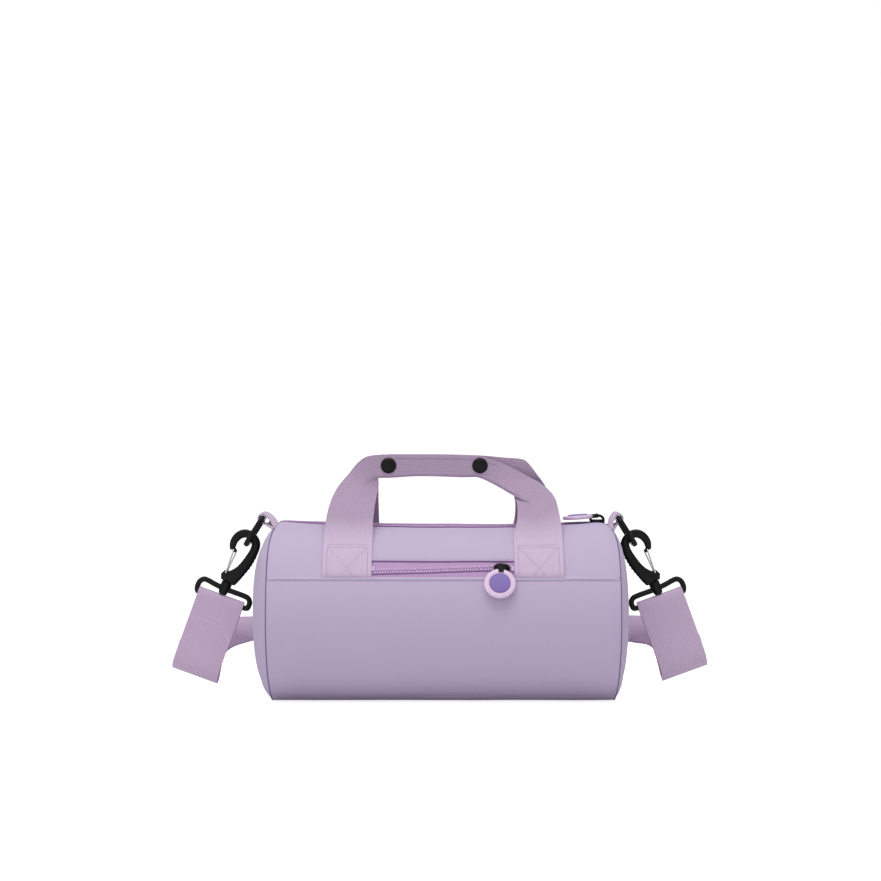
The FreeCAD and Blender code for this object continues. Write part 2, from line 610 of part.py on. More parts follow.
def hook():
    """Snap hook with a broad spine on the bag's side, open towards the gate."""
    eye = HOOK_EYE_RISE
    outer = HOOK_OUTER_RADIUS
    inner = HOOK_INNER_RADIUS
    foot = HOOK_FOOT_HALF
    lug_top = GATE_PIVOT[1] + GATE_LUG_HALF + GATE_WIRE_RADIUS
    nose_root = HOOK_NOSE[1] + outer - inner
    profile = [
        (-foot, HOOK_FOOT), (foot, HOOK_FOOT), HOOK_SPINE, (outer, eye),
        ((0, eye + outer), (-outer, eye)), (-outer, nose_root), HOOK_NOSE, (-inner, nose_root), (-inner, eye),
        ((0, eye + inner), (inner, eye)), HOOK_THROAT, (-foot, lug_top),
    ]
    body = plate(profile, HOOK_THICKNESS)
    ledge = GATE_PIVOT[1] - GATE_WIRE_RADIUS - RUNNING_GAP
    wide = HOOK_THICKNESS
    for y0, y1 in ((-wide, -GATE_LUG_HALF), (GATE_LUG_HALF, wide)):
        body = body.cut(block(-FAR, GATE_SLOT_END, y0, y1, ledge, HOOK_NOSE[1] - GATE_LUG_HALF))
    pivot = Vector(GATE_PIVOT[0], 0, GATE_PIVOT[1])
    body = body.cut(rod(GATE_WIRE_RADIUS + FIT_GAP, pivot - Y_AXIS * wide, pivot + Y_AXIS * wide))
    for radius, height in ((STEM_RADIUS, STEM_LENGTH), (COLLAR_RADIUS, COLLAR_HEIGHT)):
        body = body.fuse(rod(radius, Vector(0, 0, STEM_LOW), Vector(0, 0, STEM_LOW + height)))
    return at_swivel(body.removeSplitter(), HOOK_LEAN)


def gate():
    """Wire gate: two legs, the bar behind the nose and the pin in the hook's lug."""
    wire = GATE_WIRE_RADIUS
    tips = [Vector(GATE_TIP_OUTER[0], -GATE_HALF_WIDTH, GATE_TIP_OUTER[1]),
            Vector(GATE_TIP_INNER[0], GATE_HALF_WIDTH, GATE_TIP_INNER[1])]
    feet = [Vector(GATE_PIVOT[0], y, GATE_PIVOT[1]) for y in (-GATE_HALF_WIDTH, GATE_HALF_WIDTH)]
    corners = [feet[0], tips[0], tips[1], feet[1]]
    body = rod(wire, feet[1], feet[0])
    for start, end in zip(corners[:-1], corners[1:]):
        body = body.fuse(rod(wire, start, end))
    for corner in corners:
        body = body.fuse(Part.makeSphere(wire, corner))
    return at_swivel(body, HOOK_LEAN)


def swivel_base():
    """Frame with a slot for the strap, and the boss that holds the hook's stem."""
    half = FRAME_WIDTH / 2
    low = -STRAP_BAR_DROP - STRAP_BAR_RADIUS
    opening = FRAME_SLOT_WIDTH / 2
    frame = block(-half, half, -FRAME_BAR / 2, FRAME_BAR / 2, low, 0)
    frame = frame.cut(block(-opening, opening, -FRAME_BAR, FRAME_BAR, low - 1, -FRAME_BAR))
    bar = Vector(half, 0, -STRAP_BAR_DROP)
    frame = frame.fuse(rod(STRAP_BAR_RADIUS, bar - X_AXIS * FRAME_WIDTH, bar))
    frame = at_swivel(frame, STRAP_LEAN)
    boss = rod(BOSS_RADIUS, Vector(0, 0, -FRAME_BAR / 2), Vector(0, 0, HOOK_FOOT - RUNNING_GAP))
    body = frame.fuse(at_swivel(boss, HOOK_LEAN))
    stem_room = rod(STEM_RADIUS + RUNNING_GAP, Vector(0, 0, STEM_LOW), Vector(0, 0, HOOK_FOOT))
    collar_room = rod(COLLAR_RADIUS + RUNNING_GAP, Vector(0, 0, STEM_LOW - RUNNING_GAP),
                      Vector(0, 0, STEM_LOW + COLLAR_HEIGHT + RUNNING_GAP))
    return body.cut(at_swivel(stem_room.fuse(collar_room), HOOK_LEAN)).removeSplitter()


def strap_end(back_leg):
    """Webbing passed round the left base's lower bar: a front leg and a back leg."""
    half = WEB_WIDTH / 2
    bar = Vector(-half, 0, -STRAP_BAR_DROP)
    bend = rod(STRAP_BEND_OUTER, bar, bar + X_AXIS * WEB_WIDTH)
    bend = bend.cut(rod(STRAP_BEND_INNER, bar - X_AXIS, bar + X_AXIS * (WEB_WIDTH + 1)))
    bend = bend.cut(block(-FAR, FAR, -FAR, FAR, -FAR, -STRAP_BAR_DROP))
    front = block(-half, half, -STRAP_BEND_OUTER, -STRAP_BEND_INNER, -STRAP_DROP, -STRAP_BAR_DROP)
    back = block(-half, half, STRAP_BEND_INNER, STRAP_BEND_OUTER,
                 -STRAP_BAR_DROP - back_leg, -STRAP_BAR_DROP)
    return at_swivel(bend.fuse([front, back]).removeSplitter(), STRAP_LEAN)


def strap_return(thickness, run_y):
    """Webbing from the bottom of the left drop, rolled back and led behind the bag."""
    lean = math.radians(STRAP_LEAN)
    across = Vector(math.cos(lean), 0, -math.sin(lean))
    start = swivel_point() + Vector(-math.sin(lean), 0, -math.cos(lean)) * (STRAP_DROP + FIT_GAP)
    front_y = -(STRAP_BEND_INNER + STRAP_BEND_OUTER) / 2 - (thickness - WEB_THICKNESS) / 2
    stations = [
        (start + Y_AXIS * front_y, across, Vector(0, 1, 0)),
        (start + Vector(*ROLL_LOW), across, Vector(-0.2, 0.5, 0.9)),
        (start + Vector(*ROLL_BACK), across, Vector(0.35, -0.1, 0.9)),
        (start + Vector(*ROLL_UP), across, Vector(0, -1, 0.3)),
        (lead_point(LEAD_OUT), Vector(0.75, -0.25, -0.6), Vector(0.55, -0.75, 0.35)),
        (lead_point(LEAD_BEHIND), Vector(0.6, -0.63, -0.49), Vector(0.36, -0.33, 0.87)),
        (lead_point(LEAD_IN), Vector(0, -0.2, -0.98), Vector(0.2, -0.95, 0.2)),
        (Vector(-STRAP_RUN_HALF - FIT_GAP, run_y, STRAP_RUN_HEIGHT), Vector(0, 0, -1), Vector(0, -1, 0)),
    ]
    return ribbon(stations, thickness)


def lead_point(lead):
    """Middle of the left return where it goes round the end of the bag."""
    out, back, up = lead
    return Vector(-SEAM_HALF_LENGTH - out, STRAP_BACK_Y + back, STRAP_RUN_HEIGHT + up)


def ribbon(stations, thickness):
    """Ruled band through stations of middle point, width direction and face direction."""
    sections = []
    for centre, across, facing in stations:
        across = Vector(across).normalize()
        facing = (facing - across * facing.dot(across)).normalize()
        side = across * (WEB_WIDTH / 2)
        face = facing * (thickness / 2)
        corners = [centre - side - face, centre + side - face, centre + side + face, centre - side + face]
        sections.append(Part.makePolygon(corners + [corners[0]]))
    return Part.makeLoft(sections, True, True)


def back_layer(x0, x1, layer):
    """Straight run behind the bag, standing on its edge; layer 0 is next to the bag."""
    y0 = STRAP_BACK_Y - WEB_THICKNESS / 2 + layer * (WEB_THICKNESS + LAYER_GAP)
    return block(x0, x1, y0, y0 + WEB_THICKNESS, STRAP_FLOOR_GAP, STRAP_FLOOR_GAP + WEB_WIDTH)


def strap_adjuster():
    """Slide with two windows that both layers of the strap pass through."""
    near = STRAP_BACK_Y - WEB_THICKNESS / 2
    room = WEB_THICKNESS + LAYER_GAP
    gap = LAYER_GAP / 2
    low = STRAP_FLOOR_GAP - gap
    high = STRAP_FLOOR_GAP + WEB_WIDTH + gap
    x0 = ADJUSTER_X - ADJUSTER_LENGTH / 2
    x1 = ADJUSTER_X + ADJUSTER_LENGTH / 2
    body = block(x0, x1, near - gap - ADJUSTER_WALL, near + 2 * room - gap + ADJUSTER_WALL, 0, ADJUSTER_TOP)
    return body.cut(block(x0 - 1, x1 + 1, near - gap, near + 2 * room - gap, low, high))


def strap():
    double = 2 * WEB_THICKNESS + LAYER_GAP
    double_y = STRAP_BACK_Y + (double - WEB_THICKNESS) / 2
    long_leg = STRAP_DROP - STRAP_BAR_DROP - STRAP_BAR_RADIUS
    return {
        "strap_left_end": strap_end(STRAP_SEWN_TAIL),
        "strap_right_end": mirrored(strap_end(long_leg)),
        "strap_left_return": strap_return(WEB_THICKNESS, STRAP_BACK_Y),
        "strap_right_return": mirrored(strap_return(double, double_y)),
        "strap_back_run": back_layer(-STRAP_RUN_HALF, STRAP_RUN_HALF, 0),
        "strap_tail": back_layer(STRAP_TAIL_END, STRAP_RUN_HALF, 1),
        "strap_adjuster": strap_adjuster(),
    }


def paired_hardware():
    makers = {
        "end_panel": lambda: mirrored(end_panel()),
        "seam_piping": lambda: mirrored(seam_piping()),
        "ring_tab": ring_tab,
        "ring": ring,
        "hook": hook,
        "gate": gate,
        "swivel_base": swivel_base,
    }
    parts = {}
    for name, make in makers.items():
        parts["left_" + name] = make()
        parts["right_" + name] = mirrored(make())
    return parts


def all_parts():
    parts = body_panels()
    parts["lining"] = lining()
    parts["pocket_bag"] = pocket_bag()
    for group in (main_zip(), pocket_zip(), handles(), paired_hardware(), strap()):
        parts.update(group)
    return parts


os.makedirs("parts", exist_ok=True)
for node, shape in all_parts().items():
    shape.exportStep("parts/%s.step" % node)
    print(node, len(shape.Solids), shape.isValid(), round(shape.Volume, 1))
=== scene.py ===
import json
import math

import bmesh
import bpy
from mathutils import Matrix, Vector, noise

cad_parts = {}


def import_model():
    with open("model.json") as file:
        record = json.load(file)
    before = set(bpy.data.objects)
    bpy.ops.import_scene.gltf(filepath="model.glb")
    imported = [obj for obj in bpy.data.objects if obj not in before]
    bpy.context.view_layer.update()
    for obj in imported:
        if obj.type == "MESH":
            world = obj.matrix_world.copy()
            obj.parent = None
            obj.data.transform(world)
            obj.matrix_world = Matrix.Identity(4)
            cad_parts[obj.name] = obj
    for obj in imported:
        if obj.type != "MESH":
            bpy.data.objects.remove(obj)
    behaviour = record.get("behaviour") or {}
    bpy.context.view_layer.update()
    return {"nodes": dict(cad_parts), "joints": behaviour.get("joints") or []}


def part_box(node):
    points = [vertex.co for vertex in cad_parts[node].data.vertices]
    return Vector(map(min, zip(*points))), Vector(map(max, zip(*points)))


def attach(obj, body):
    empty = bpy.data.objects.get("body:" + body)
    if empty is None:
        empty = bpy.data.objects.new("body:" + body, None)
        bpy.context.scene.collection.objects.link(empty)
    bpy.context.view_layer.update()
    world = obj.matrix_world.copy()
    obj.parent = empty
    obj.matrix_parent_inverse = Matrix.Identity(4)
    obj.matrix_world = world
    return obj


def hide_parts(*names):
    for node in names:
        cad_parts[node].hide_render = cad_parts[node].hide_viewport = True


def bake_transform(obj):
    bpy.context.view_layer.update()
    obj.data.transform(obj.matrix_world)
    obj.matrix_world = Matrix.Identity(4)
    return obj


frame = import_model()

# Looks of a barrel bag: cloth shell, zips, webbing handles, strap and its hardware.
# Lengths are in millimetres until a mesh is made. X runs along the bag, the front faces -Y.
# Angles are in degrees. Round the barrel, 0 faces the front, 90 is the top and 180 the back.
MM = 0.001
X_AXIS = Vector((1, 0, 0))
Y_AXIS = Vector((0, 1, 0))
Z_AXIS = Vector((0, 0, 1))
WELD = 1e-6  # metres within which two points are one
SHARP_ANGLE = 38.0  # an edge that turns more than this stays sharp
ROD_SHARP_ANGLE = 60.0
SOFT_SHARP_ANGLE = 34.0
BEVEL_ANGLE = 32.0  # an edge of a hard node that turns more than this is rounded off
ENDS = ((-1, "left"), (1, "right"))


def box_mm(node):
    """Lowest and highest corner of a node, in millimetres."""
    low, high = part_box(node)
    return low / MM, high / MM


def joint_point(name):
    """Where a joint turns, in millimetres."""
    found = [joint for joint in frame["joints"] if joint["name"] == name]
    return Vector(found[0]["pos_m"]) / MM


def arc_angle(arc):
    """Angle that a length of cloth takes up round the barrel."""
    return math.degrees(arc / BARREL_RADIUS)


# Barrel, from the frame
SEAM_X = box_mm("back_base_panel")[1].x
BARREL_RADIUS = box_mm("back_base_panel")[1].y
AXIS_HEIGHT = box_mm("left_seam_piping")[1].z - box_mm("left_seam_piping")[1].y
WINDOW_LOW, WINDOW_HIGH = box_mm("pocket_zip_tape_upper")
TOP_ANGLE = 90.0  # of the main zip
SEAM_ANGLE = 25.7  # of the front seam, at the pocket zip
BASE_SEAM_ANGLE = -62.0

# Cloth
CLOTH = 1.6  # thickness of the shell's cloth
LINING_CLOTH = 0.5
LINING_DEPTH = 2.2
LINING_MARGIN = 1.0  # from its ends to the end seams
POCKET_BAG_GAP = 0.2  # from the lining to its sewn edges
POCKET_BAG_DEPTH = 2.4
POCKET_BAG_SLOPE = 4.0  # distance from its edges at which it is that deep
POCKET_BAG_LOW_ANGLE = -40.0
SLACK = 0.7  # broad unevenness of the cloth
SLACK_WAVE = (55.0, 70.0)  # how long it is, along the bag and round it
SLACK_START = 12.0  # distance from an end seam at which it is full
CRUMPLE = 0.16  # finer unevenness on it
CRUMPLE_WAVE = (17.0, 24.0)
PUCKER = 0.25  # and what the end seams add
PUCKER_WAVE = (40.0, 5.0)
PUCKER_REACH = 9.0
SEAM_DIP = 1.0  # how far the cloth turns down to an end seam
SEAM_DIP_REACH = 3.0
SAG = 5.3  # of the panels at the top, half way along
SAG_RISE = 6.0  # how much higher the top stands at its ends
SAG_TILT = 0.6  # and how much the left end adds to that
SAG_POWER = 4  # how closely the sag keeps to the top: higher is closer
SEAM_INSET = 1.2  # of the end seams, all round
SEAM_SHIFT = 2.3  # of both of them towards the right, as the bag has slumped
SHIFT_POWER = 16  # how closely that keeps to the ends
CORNER_INSET = 5.0  # more of it at the top, where the corners are drawn in
CORNER_DROP = 2.2
CORNER_REACH = 7.0  # of that drop, along the bag
CORNER_POWER = 8  # how closely both keep to the top
FOOT_INSET = 2.0
FOOT_POWER = 4  # how closely that keeps to the foot
FOOT_SOFTNESS = 1.1  # how gently the barrel turns into its flat foot
SLUMP = 2.4  # how far the bag's weight spreads the cloth above its foot
SLUMP_ANGLE = 34.0  # how far round from the foot that reaches
EDGE_ROLL = 0.8  # how far a folded cloth edge turns in
EDGE_RADIUS = 1.2  # and over what distance
WELT_EDGE_RADIUS = 0.7
BASE_SEAM_DIP = 0.2  # how deep the base seam is, against a folded edge
WELT = 2.6  # folded edge of the lower panel along the front seam
WELT_RISE = 0.9
WELT_SOFTNESS = 0.25  # how gently it falls to the panel below it
WELT_FADE = 5.0  # distance from an end seam at which it is full
WELT_GROOVE = 0.35  # depth of the line below the welt
GROOVE_HALF = 0.5  # half the width of that line
END_SLACK = 2.3  # how far the domed ends have sunk in
END_BULGE = box_mm("right_end_panel")[1].x - SEAM_X - END_SLACK
DOME_POWER = 3.6  # how full the ends are: 2 is a bowl, more is flatter with rounder edges
ROLL_SHARE = 0.8  # where the roll of cloth beside an end seam begins
ROLL_RISE = 0.7
CREASE = 0.5  # depth of the line where that roll begins
CREASE_SHARE = 0.012  # and its width
END_CRUMPLE = 0.5  # unevenness in the middle of an end
END_WAVE = 30.0  # and how long it is
CORD_RADIUS = 0.42  # of the piping and of the zips' painted shade cords
STEP_X = 2.5  # grid of the cloth meshes
STEP_ARC = 1.8
END_STEP = 0.04  # grid of the ends, in shares of their radius
END_FINE_STEP = 0.012
END_FINE_SHARE = 0.76  # where the finer grid begins

# Zips
MAIN_HALF = 6.5  # half the gap that each zip fills
POCKET_HALF = 7.5
ZIP_EDGE = arc_angle(MAIN_HALF)
POCKET_EDGE = arc_angle(POCKET_HALF)
POCKET_ANGLE = SEAM_ANGLE + POCKET_EDGE
WINDOW_TOP = POCKET_ANGLE + POCKET_EDGE
MAIN_SPAN = (-SEAM_X + 0.5, SEAM_X - 0.5)
POCKET_SPAN = (WINDOW_LOW.x, WINDOW_HIGH.x)
ZIP_RIDGE = 2.7  # how far the main zip stands up out of the panels, half way along
RIDGE_TILT = 0.2  # and how much the left end adds to that
TAPE_LIFT = -1.5
TAPE_CLOTH = 0.6
POCKET_RISE = 1.4  # of the pocket's teeth above the middle of their gap, at the slider
POCKET_SLANT = 3.6  # how far they run down from there to their left end
TOOTH_PITCH = 2.0
TOOTH_INNER = 0.15
TOOTH_OUTER = 2.3
TOOTH_RADIUS = 0.7
TOOTH_HEIGHT = 0.85
TOOTH_LIFT = 0.8
TOOTH_MARGIN = 3.0  # from the end of the tape to the first tooth
CORD_INSET = 0.6  # of the main zip's painted shade cords from the edge of the cloth; half that on the pocket
CORD_GAP = 0.4  # from the pocket's lower teeth to their painted shade cord
MAIN_CORD_LIFT = -0.3  # of the painted shade cords, against the face of the cloth
UPPER_CORD_LIFT = -0.7
LOWER_CORD_LIFT = TAPE_LIFT + 0.3
PIN_HEIGHT = 4.4  # of a pull's pin above the middle of its slider
# Half of a slider's outline and its arch, about the slider's middle: along the zip, then across or up.
SLIDER_HALF = [(-5.6, 0), (-5.2, 2), (-3.8, 3.7), (-1.5, 4.2), (1.5, 3.9), (4.2, 2.7), (6, 1.3), (6.4, 0)]
SLIDER_OUTLINE = SLIDER_HALF + [(x, -y) for x, y in SLIDER_HALF[-2:0:-1]]
SLIDER_LEVELS = [(0.82, -3.4), (1, -2.9), (1, 0.9), (0.86, 1.5)]  # scale and height
SLIDER_ARCH = [(-5, 0.6), (-4.9, 2.3), (-3.9, 3.7), (-1.8, 4.5), (1, 4.6), (3.4, 4.1), (5, 2.6), (5.4, 0.6)]
SLIDER_ARCH_SIZE = (1.5, 1.1)  # half its width and half its thickness
PULL_RADIUS = (box_mm("main_pull_disc")[1].y - box_mm("main_pull_disc")[0].y) / 2
PULL_INSERT = (box_mm("main_pull_inserts")[1].y - box_mm("main_pull_inserts")[0].y) / 2
PULL_HALF = 1.5  # half a pull's thickness, at the flat of its rim
PULL_SOCKET = 0.9  # half of what is left between the inserts
PULL_PROFILE = [
    (0.5, PULL_SOCKET), (PULL_INSERT, PULL_SOCKET), (PULL_INSERT + 0.1, 1.3), (PULL_INSERT + 0.6, PULL_HALF),
    (PULL_RADIUS - 1.4, PULL_HALF), (PULL_RADIUS - 0.4, 1.1), (PULL_RADIUS, 0.4),
]
INSERT_PROUD = ((-1, 0.3), (1, 0.95))  # of the rim, behind and in front
INSERT_DOME = ((0.1, 0.3), (0.4, 0.7), (3, 0.95))  # from its edge inward, and how much of its rise is there
CLIP_BITE = 4.4  # how far a clip covers the edge of its pull
CLIP_SIZE = (4.2, 2.1)

# Webbing and handles
WEB_WIDTH = 38.0
WEB_HALF = WEB_WIDTH / 2
WEB_CLOTH = 1.7
WEB_LIFT = 1.05
WEB_SHARES = (1, 0.8, 0.6, 0.4, 0.2, 0.06)  # places across half of it
HINGE_ANGLE = 52.0
HANDLE_X = 2.0
LEG_X = 74.0
LEG_ANGLES = (SEAM_ANGLE + 0.2, SEAM_ANGLE + 1.2, 29, 34, 39, 44, 48, HINGE_ANGLE - 1)
LEG_TUCK = 1.2  # how deep a leg goes into the front seam
LEG_TUCK_REACH = 1.6  # and how far from the seam that begins
GRIP_HEIGHT = 18.0
GRIP_Y = 2.45  # of the middle of each folded grip from the bag's middle
GRIP_FOLD = 0.6  # how far the inner edge of a flat fold lies below the outer one
LEAN_BOW = 0.43  # how much of the lean is taken up low on the leg
FOLD_SLACK = 0.3  # share of the inner half's spare width that bellies out behind a fold


def flat_fold(fold, outer):
    """Station of webbing that is folded flat along its middle."""
    return fold, outer, (outer[0], outer[1] - GRIP_FOLD), 1


# Stations of webbing: its fold line, outer edge and inner edge, each an X and a Z, and how far the
# inner half lies behind the outer one: 0 is side by side, 1 is folded flat.
LEFT_LEG = [
    ((-72, 131), (-91, 131), (-53, 131), 0),
    ((-71.5, 142), (-90, 143), (-53, 141.5), 0),
    ((-69.8, 152), (-87, 156.5), (-52.4, 150), 0),
    ((-67, 160.5), (-81.5, 168), (-51.6, 157), 0),
    ((-62.5, 168), (-73, 178.5), (-50.6, 163), 0),
    ((-57, 173), (-66, 187.2), (-49.6, 170), 0.25),
    ((-49.5, 175.6), (-57.5, 192.6), (-50, 184), 1),
]
BACK_LEFT_LEG = [(fold, outer, (-50, inner[1]), behind) for fold, outer, inner, behind in LEFT_LEG]
GRIP = [
    flat_fold((-40, 176), (-40, 194)),
    flat_fold((-20, 177.2), (-20, 194)),
    flat_fold((0, 177), (0, 194)),
    flat_fold((18, 176.4), (18, 193.6)),
]
FRONT_RIGHT_LEG = [
    flat_fold((26.2, 176.9), (31, 192.6)),
    flat_fold((33, 175.4), (40, 190)),
    flat_fold((41, 171.7), (50, 186.4)),
    ((49, 167.3), (60.5, 181.2), (60, 180.6), 1),
    ((57, 162.6), (70.5, 175.7), (68, 173), 1),
    ((65, 158.6), (79.5, 170.6), (66, 161), 0.5),
    ((71.5, 155), (86, 165.4), (60, 159.5), 0),
    ((74.8, 148.5), (91, 158.5), (61, 153), 0),
    ((76, 140), (93.6, 147.5), (60.5, 142), 0),
    ((76, 131), (95, 134.5), (57.5, 131), 0),
]
BACK_RIGHT_LEG = [
    flat_fold((30, 176.5), (36, 192.8)),
    ((44, 176), (50, 191.5), (47.5, 187), 1),
    ((54, 174.5), (64.5, 190.3), (55, 179.5), 0.8),
    ((60, 171.5), (70, 187.2), (58, 168), 0.4),
    ((65, 166), (76.5, 178.8), (59.5, 160), 0),
    ((69.5, 158.5), (84, 168.5), (60.5, 154), 0),
    ((74, 148.5), (90.5, 155.5), (60.5, 147), 0),
    ((76, 140), (94, 145), (60, 140), 0),
    ((76, 131), (95, 134), (58, 131), 0),
]
# Profiles of the snaps: steps of the rim from their radius, then radii inside it, each with a height.
CAP_RIM = [(-0.3, 0), (0, 0.35), (0, 0.8), (-0.35, 1.15), (-1.3, 1.75), (-2.8, 2.25), (-4.4, 2.5)]
CAP_MIDDLE = [(0.3, 2.6)]
CAP_SEAT = 4.1  # of the caps from the bag's middle
HALF_RIM = [(0, -0.5), (0, 0.3), (-0.3, 0.5)]
SOCKET_MIDDLE = [(2.2, 0.5), (1.9, 0.2), (0.3, 0.1)]
STUD_MIDDLE = [(1.7, 0.5), (1.7, 0.9), (1.3, 1.1), (0.3, 1.15)]
HALF_SEAT = GRIP_Y - WEB_CLOTH - 0.1

# Swivel hooks, drawn about the left swivel
HOOK_LEAN = 24.5
STRAP_LEAN = 20.0
# Stations of the hook: across, along, and half its width in its own plane.
HOOK_STATIONS = [
    (0.3, 6.2, 5.6), (1.2, 8.5, 6.3), (3.6, 12.5, 5.4), (5.8, 17.5, 4.5), (7.6, 23.5, 4.2),
    (8.7, 30, 3.9), (9.2, 36, 3.6), (8.4, 41.8, 3.5), (5.2, 45.2, 3.5), (0.4, 46.9, 3.4),
    (-4.3, 45.7, 3.4), (-7.5, 41.9, 3.3), (-8.7, 37, 3), (-8, 32.8, 2.5), (-7.2, 30.4, 1.8),
]
HOOK_HALF_THICKNESS = 3.5
RIDGE_START = 15.5  # of the ridges across the hook's spine
RIDGE_PITCH = 3.2
RIDGE_SINK = 0.25  # of their middles below the face of the spine
RIDGES = 6
RIDGE_SIZE = (5.6, 0.95, 0.75)
NUB = (-5.4, 30.6)  # behind the nose
NUB_SIZE = (4, 2.1, 2.1)
JAW = (-3.7, 9.4)  # which holds the gate
JAW_SIZE = (6.8, 4.2, 5.2)
STEM = [(2, 1), (2, 7)]
HUB = [(2.8, -5.4), (3.4, -4.8), (3.8, -3.4), (4.2, -1), (4.4, 3.6), (4.2, 4.8), (3.4, 5.4)]
ROD_RADIUS = 2.2
BAR_DROP = 9.8  # of the bar that the strap passes round
# Stations of the rod that holds the strap, about the swivel: across and along.
LOOP_STATIONS = [
    (-19.8, -BAR_DROP), (-21, -6.5), (-20.6, -2), (-18, 0.9), (-14, 1), (-8, 0), (0, -0.8), (8, -0.9),
    (16, -0.9), (20.3, -1.6), (22.6, -4.2), (22.9, -7.4), (21.6, -BAR_DROP), (14, -BAR_DROP),
    (5, -BAR_DROP), (-5, -BAR_DROP), (-14, -BAR_DROP),
]
TAB_WIDTH = 16.0
TAB_CLOTH = 1.3
TAB_OVER = 3.3  # from the middle of the ring's bar to the middle of the tab's cloth
TAB_LOOSE = 1.1  # how much looser the tab lies at its back edge
TAB_BOW = 1.2  # how far its outer layer arches between the seam and the bar
TAB_ANGLE = 77.0  # where its middle is sewn, round the end seam
TAB_TURNS = (60, 95, 130, 165, 200, 235, 270)  # places round the bar
TAB_END = Vector((-1.2, 0, -0.9))  # where its end is sewn, from where it starts
TAB_WEAVE_START = 150.0  # keeps its weave clear of the painted shade in the handles' middle

# Shoulder strap
DROPS = {-1: 64.0, 1: 60.5}  # from the swivel down to the roll under each drop, left and right
BACK_LEGS = {-1: 36.0, 1: DROPS[1] - 8}  # how far down the strap starts behind each of them
STRAP_SEWN = -29.5  # where its left end is sewn down, along the drop
FRONT_LEG_Y = -3.4
LAYER_SHIFT = 1.15  # of each of two layers from the middle between them
RUN_LOW, RUN_HIGH = box_mm("strap_back_run")
TAIL_LOW, TAIL_HIGH = box_mm("strap_tail")
RUN_Y = (RUN_LOW.y + RUN_HIGH.y) / 2
RUN_HEIGHT = (RUN_LOW.z + RUN_HIGH.z) / 2
TAIL_Y = (TAIL_LOW.y + TAIL_HIGH.y) / 2
# The roll under the left drop: middle from the drop's end, and inner side.
ROLL_STATIONS = [
    ((-2.2, 0.5, -7.4), (-0.2, 0.5, 0.9)),
    ((-1.6, 7, -8.2), (0.35, -0.1, 0.9)),
    ((4, 14, 14), (0, -1, 0.3)),
]
# The lead behind the bag: middle, width direction and inner side.
LEAD_STATIONS = [
    ((-173, 33.5, 48.5), (0.74, 0.42, -0.45), (0.55, -0.75, 0.35)),
    ((-159, 62, 47.5), (0.6, -0.63, -0.49), (0.36, -0.33, 0.87)),
    ((-126, 83.5, 36), (0, -0.2, -0.98), (0.2, -0.95, 0.2)),
]

# Stitching: each row's pitch, and the length and radius of a stitch
WEB_STITCH = (2.2, 1.5, 0.2)
SEAM_STITCH = (2.8, 1.9, 0.3)
STRAP_STITCH = (3.2, 2.4, 0.26)
STITCH_LIFT = 0.05
BOX_INSET = 3.2  # of the sewn box from the edges of a leg
BOX_LOW = SEAM_ANGLE + 0.8
BOX_HIGH = HINGE_ANGLE - 5.0
UPPER_ROW = BOX_HIGH + 2.4  # second row above the box
GRIP_ROW_HALF = 48.0  # half the length of the row along a grip
GRIP_ROW_LOW = 180.0  # and the least height of the edge that it closes
SEAM_ROW_DROP = 0.6  # from the welt to the row below it
SEAM_ROW_MARGIN = 6.0  # from that row's ends to the end seams
SEAM_ROW_SINK = 0.15
STRAP_ROW = (-15.0, 14.0)  # ends of the row across the strap, from its middle
CROSS_ANGLE = 31.0  # where the two slanting rows on a leg cross

# Stage, in metres and watts
CAMERA_DISTANCE = 1.6
CAMERA_HEIGHT = 0.205
VIEW_WIDTH = 0.705  # of the picture, at the barrel's middle
SENSOR = 36.0  # width of the camera's sensor, in millimetres
FLOOR_REACH = 40.0
FLOOR_GLOW = 0.75  # what makes the floor white to the camera
FLOOR_COLOUR = (0.9, 0.9, 0.9, 1)
WHITE = (1, 1, 1, 1)
SKY_LEVEL = 0.42  # of the light all round
AIM = Vector((0, 0, 0.08))
# Lamps: name, place, size and power
SOFTBOXES = (("key", (-0.7, -0.9, 1.6), 1.4, 4), ("top", (0, -0.4, 1.6), 1.2, 12),
             ("fill", (-0.5, -1.8, 0.3), 1.4, 3))


def link(name, data):
    obj = bpy.data.objects.new(name, data)
    bpy.context.scene.collection.objects.link(obj)
    return obj


def finished(name, work, mesh, material, sharp):
    """Object from a worked mesh, with one material, smooth but for its sharp edges."""
    work.to_mesh(mesh)
    work.free()
    mesh.materials.clear()
    mesh.materials.append(material)
    mesh.shade_smooth()
    mesh.set_sharp_from_angle(angle=math.radians(sharp))
    return link(name, mesh)


def add_mesh(name, points, faces, material, uvs=None, sharp=SHARP_ANGLE):
    """Mesh object from points in millimetres, welded where they meet."""
    mesh = bpy.data.meshes.new(name)
    mesh.from_pydata([Vector(point) * MM for point in points], [], faces)
    if uvs:
        layer = mesh.uv_layers.new(name="weave")
        for loop in mesh.loops:
            layer.data[loop.index].uv = uvs[loop.vertex_index]
    work = bmesh.new()
    work.from_mesh(mesh)
    bmesh.ops.remove_doubles(work, verts=work.verts, dist=WELD)
    bmesh.ops.recalc_face_normals(work, faces=work.faces)
    return finished(name, work, mesh, material, sharp)


def dress(obj, body, slot, *nodes):
    """Ride a piece on a body and let it stand for its nodes, if it has any; slot is not used."""
    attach(obj, body)
    if nodes:
        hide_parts(*nodes)


def join(name, objects):
    """One object from several, kept in the order given."""
    whole = bmesh.new()
    for obj in objects:
        whole.from_mesh(obj.data)
    mesh = bpy.data.meshes.new(name)
    whole.to_mesh(mesh)
    whole.free()
    mesh.materials.append(objects[0].data.materials[0])
    for obj in objects:
        bpy.data.objects.remove(obj)
    return link(name, mesh)


def steps_between(low, high, step):
    count = max(1, round((high - low) / step))
    return [low + (high - low) * k / count for k in range(count + 1)]


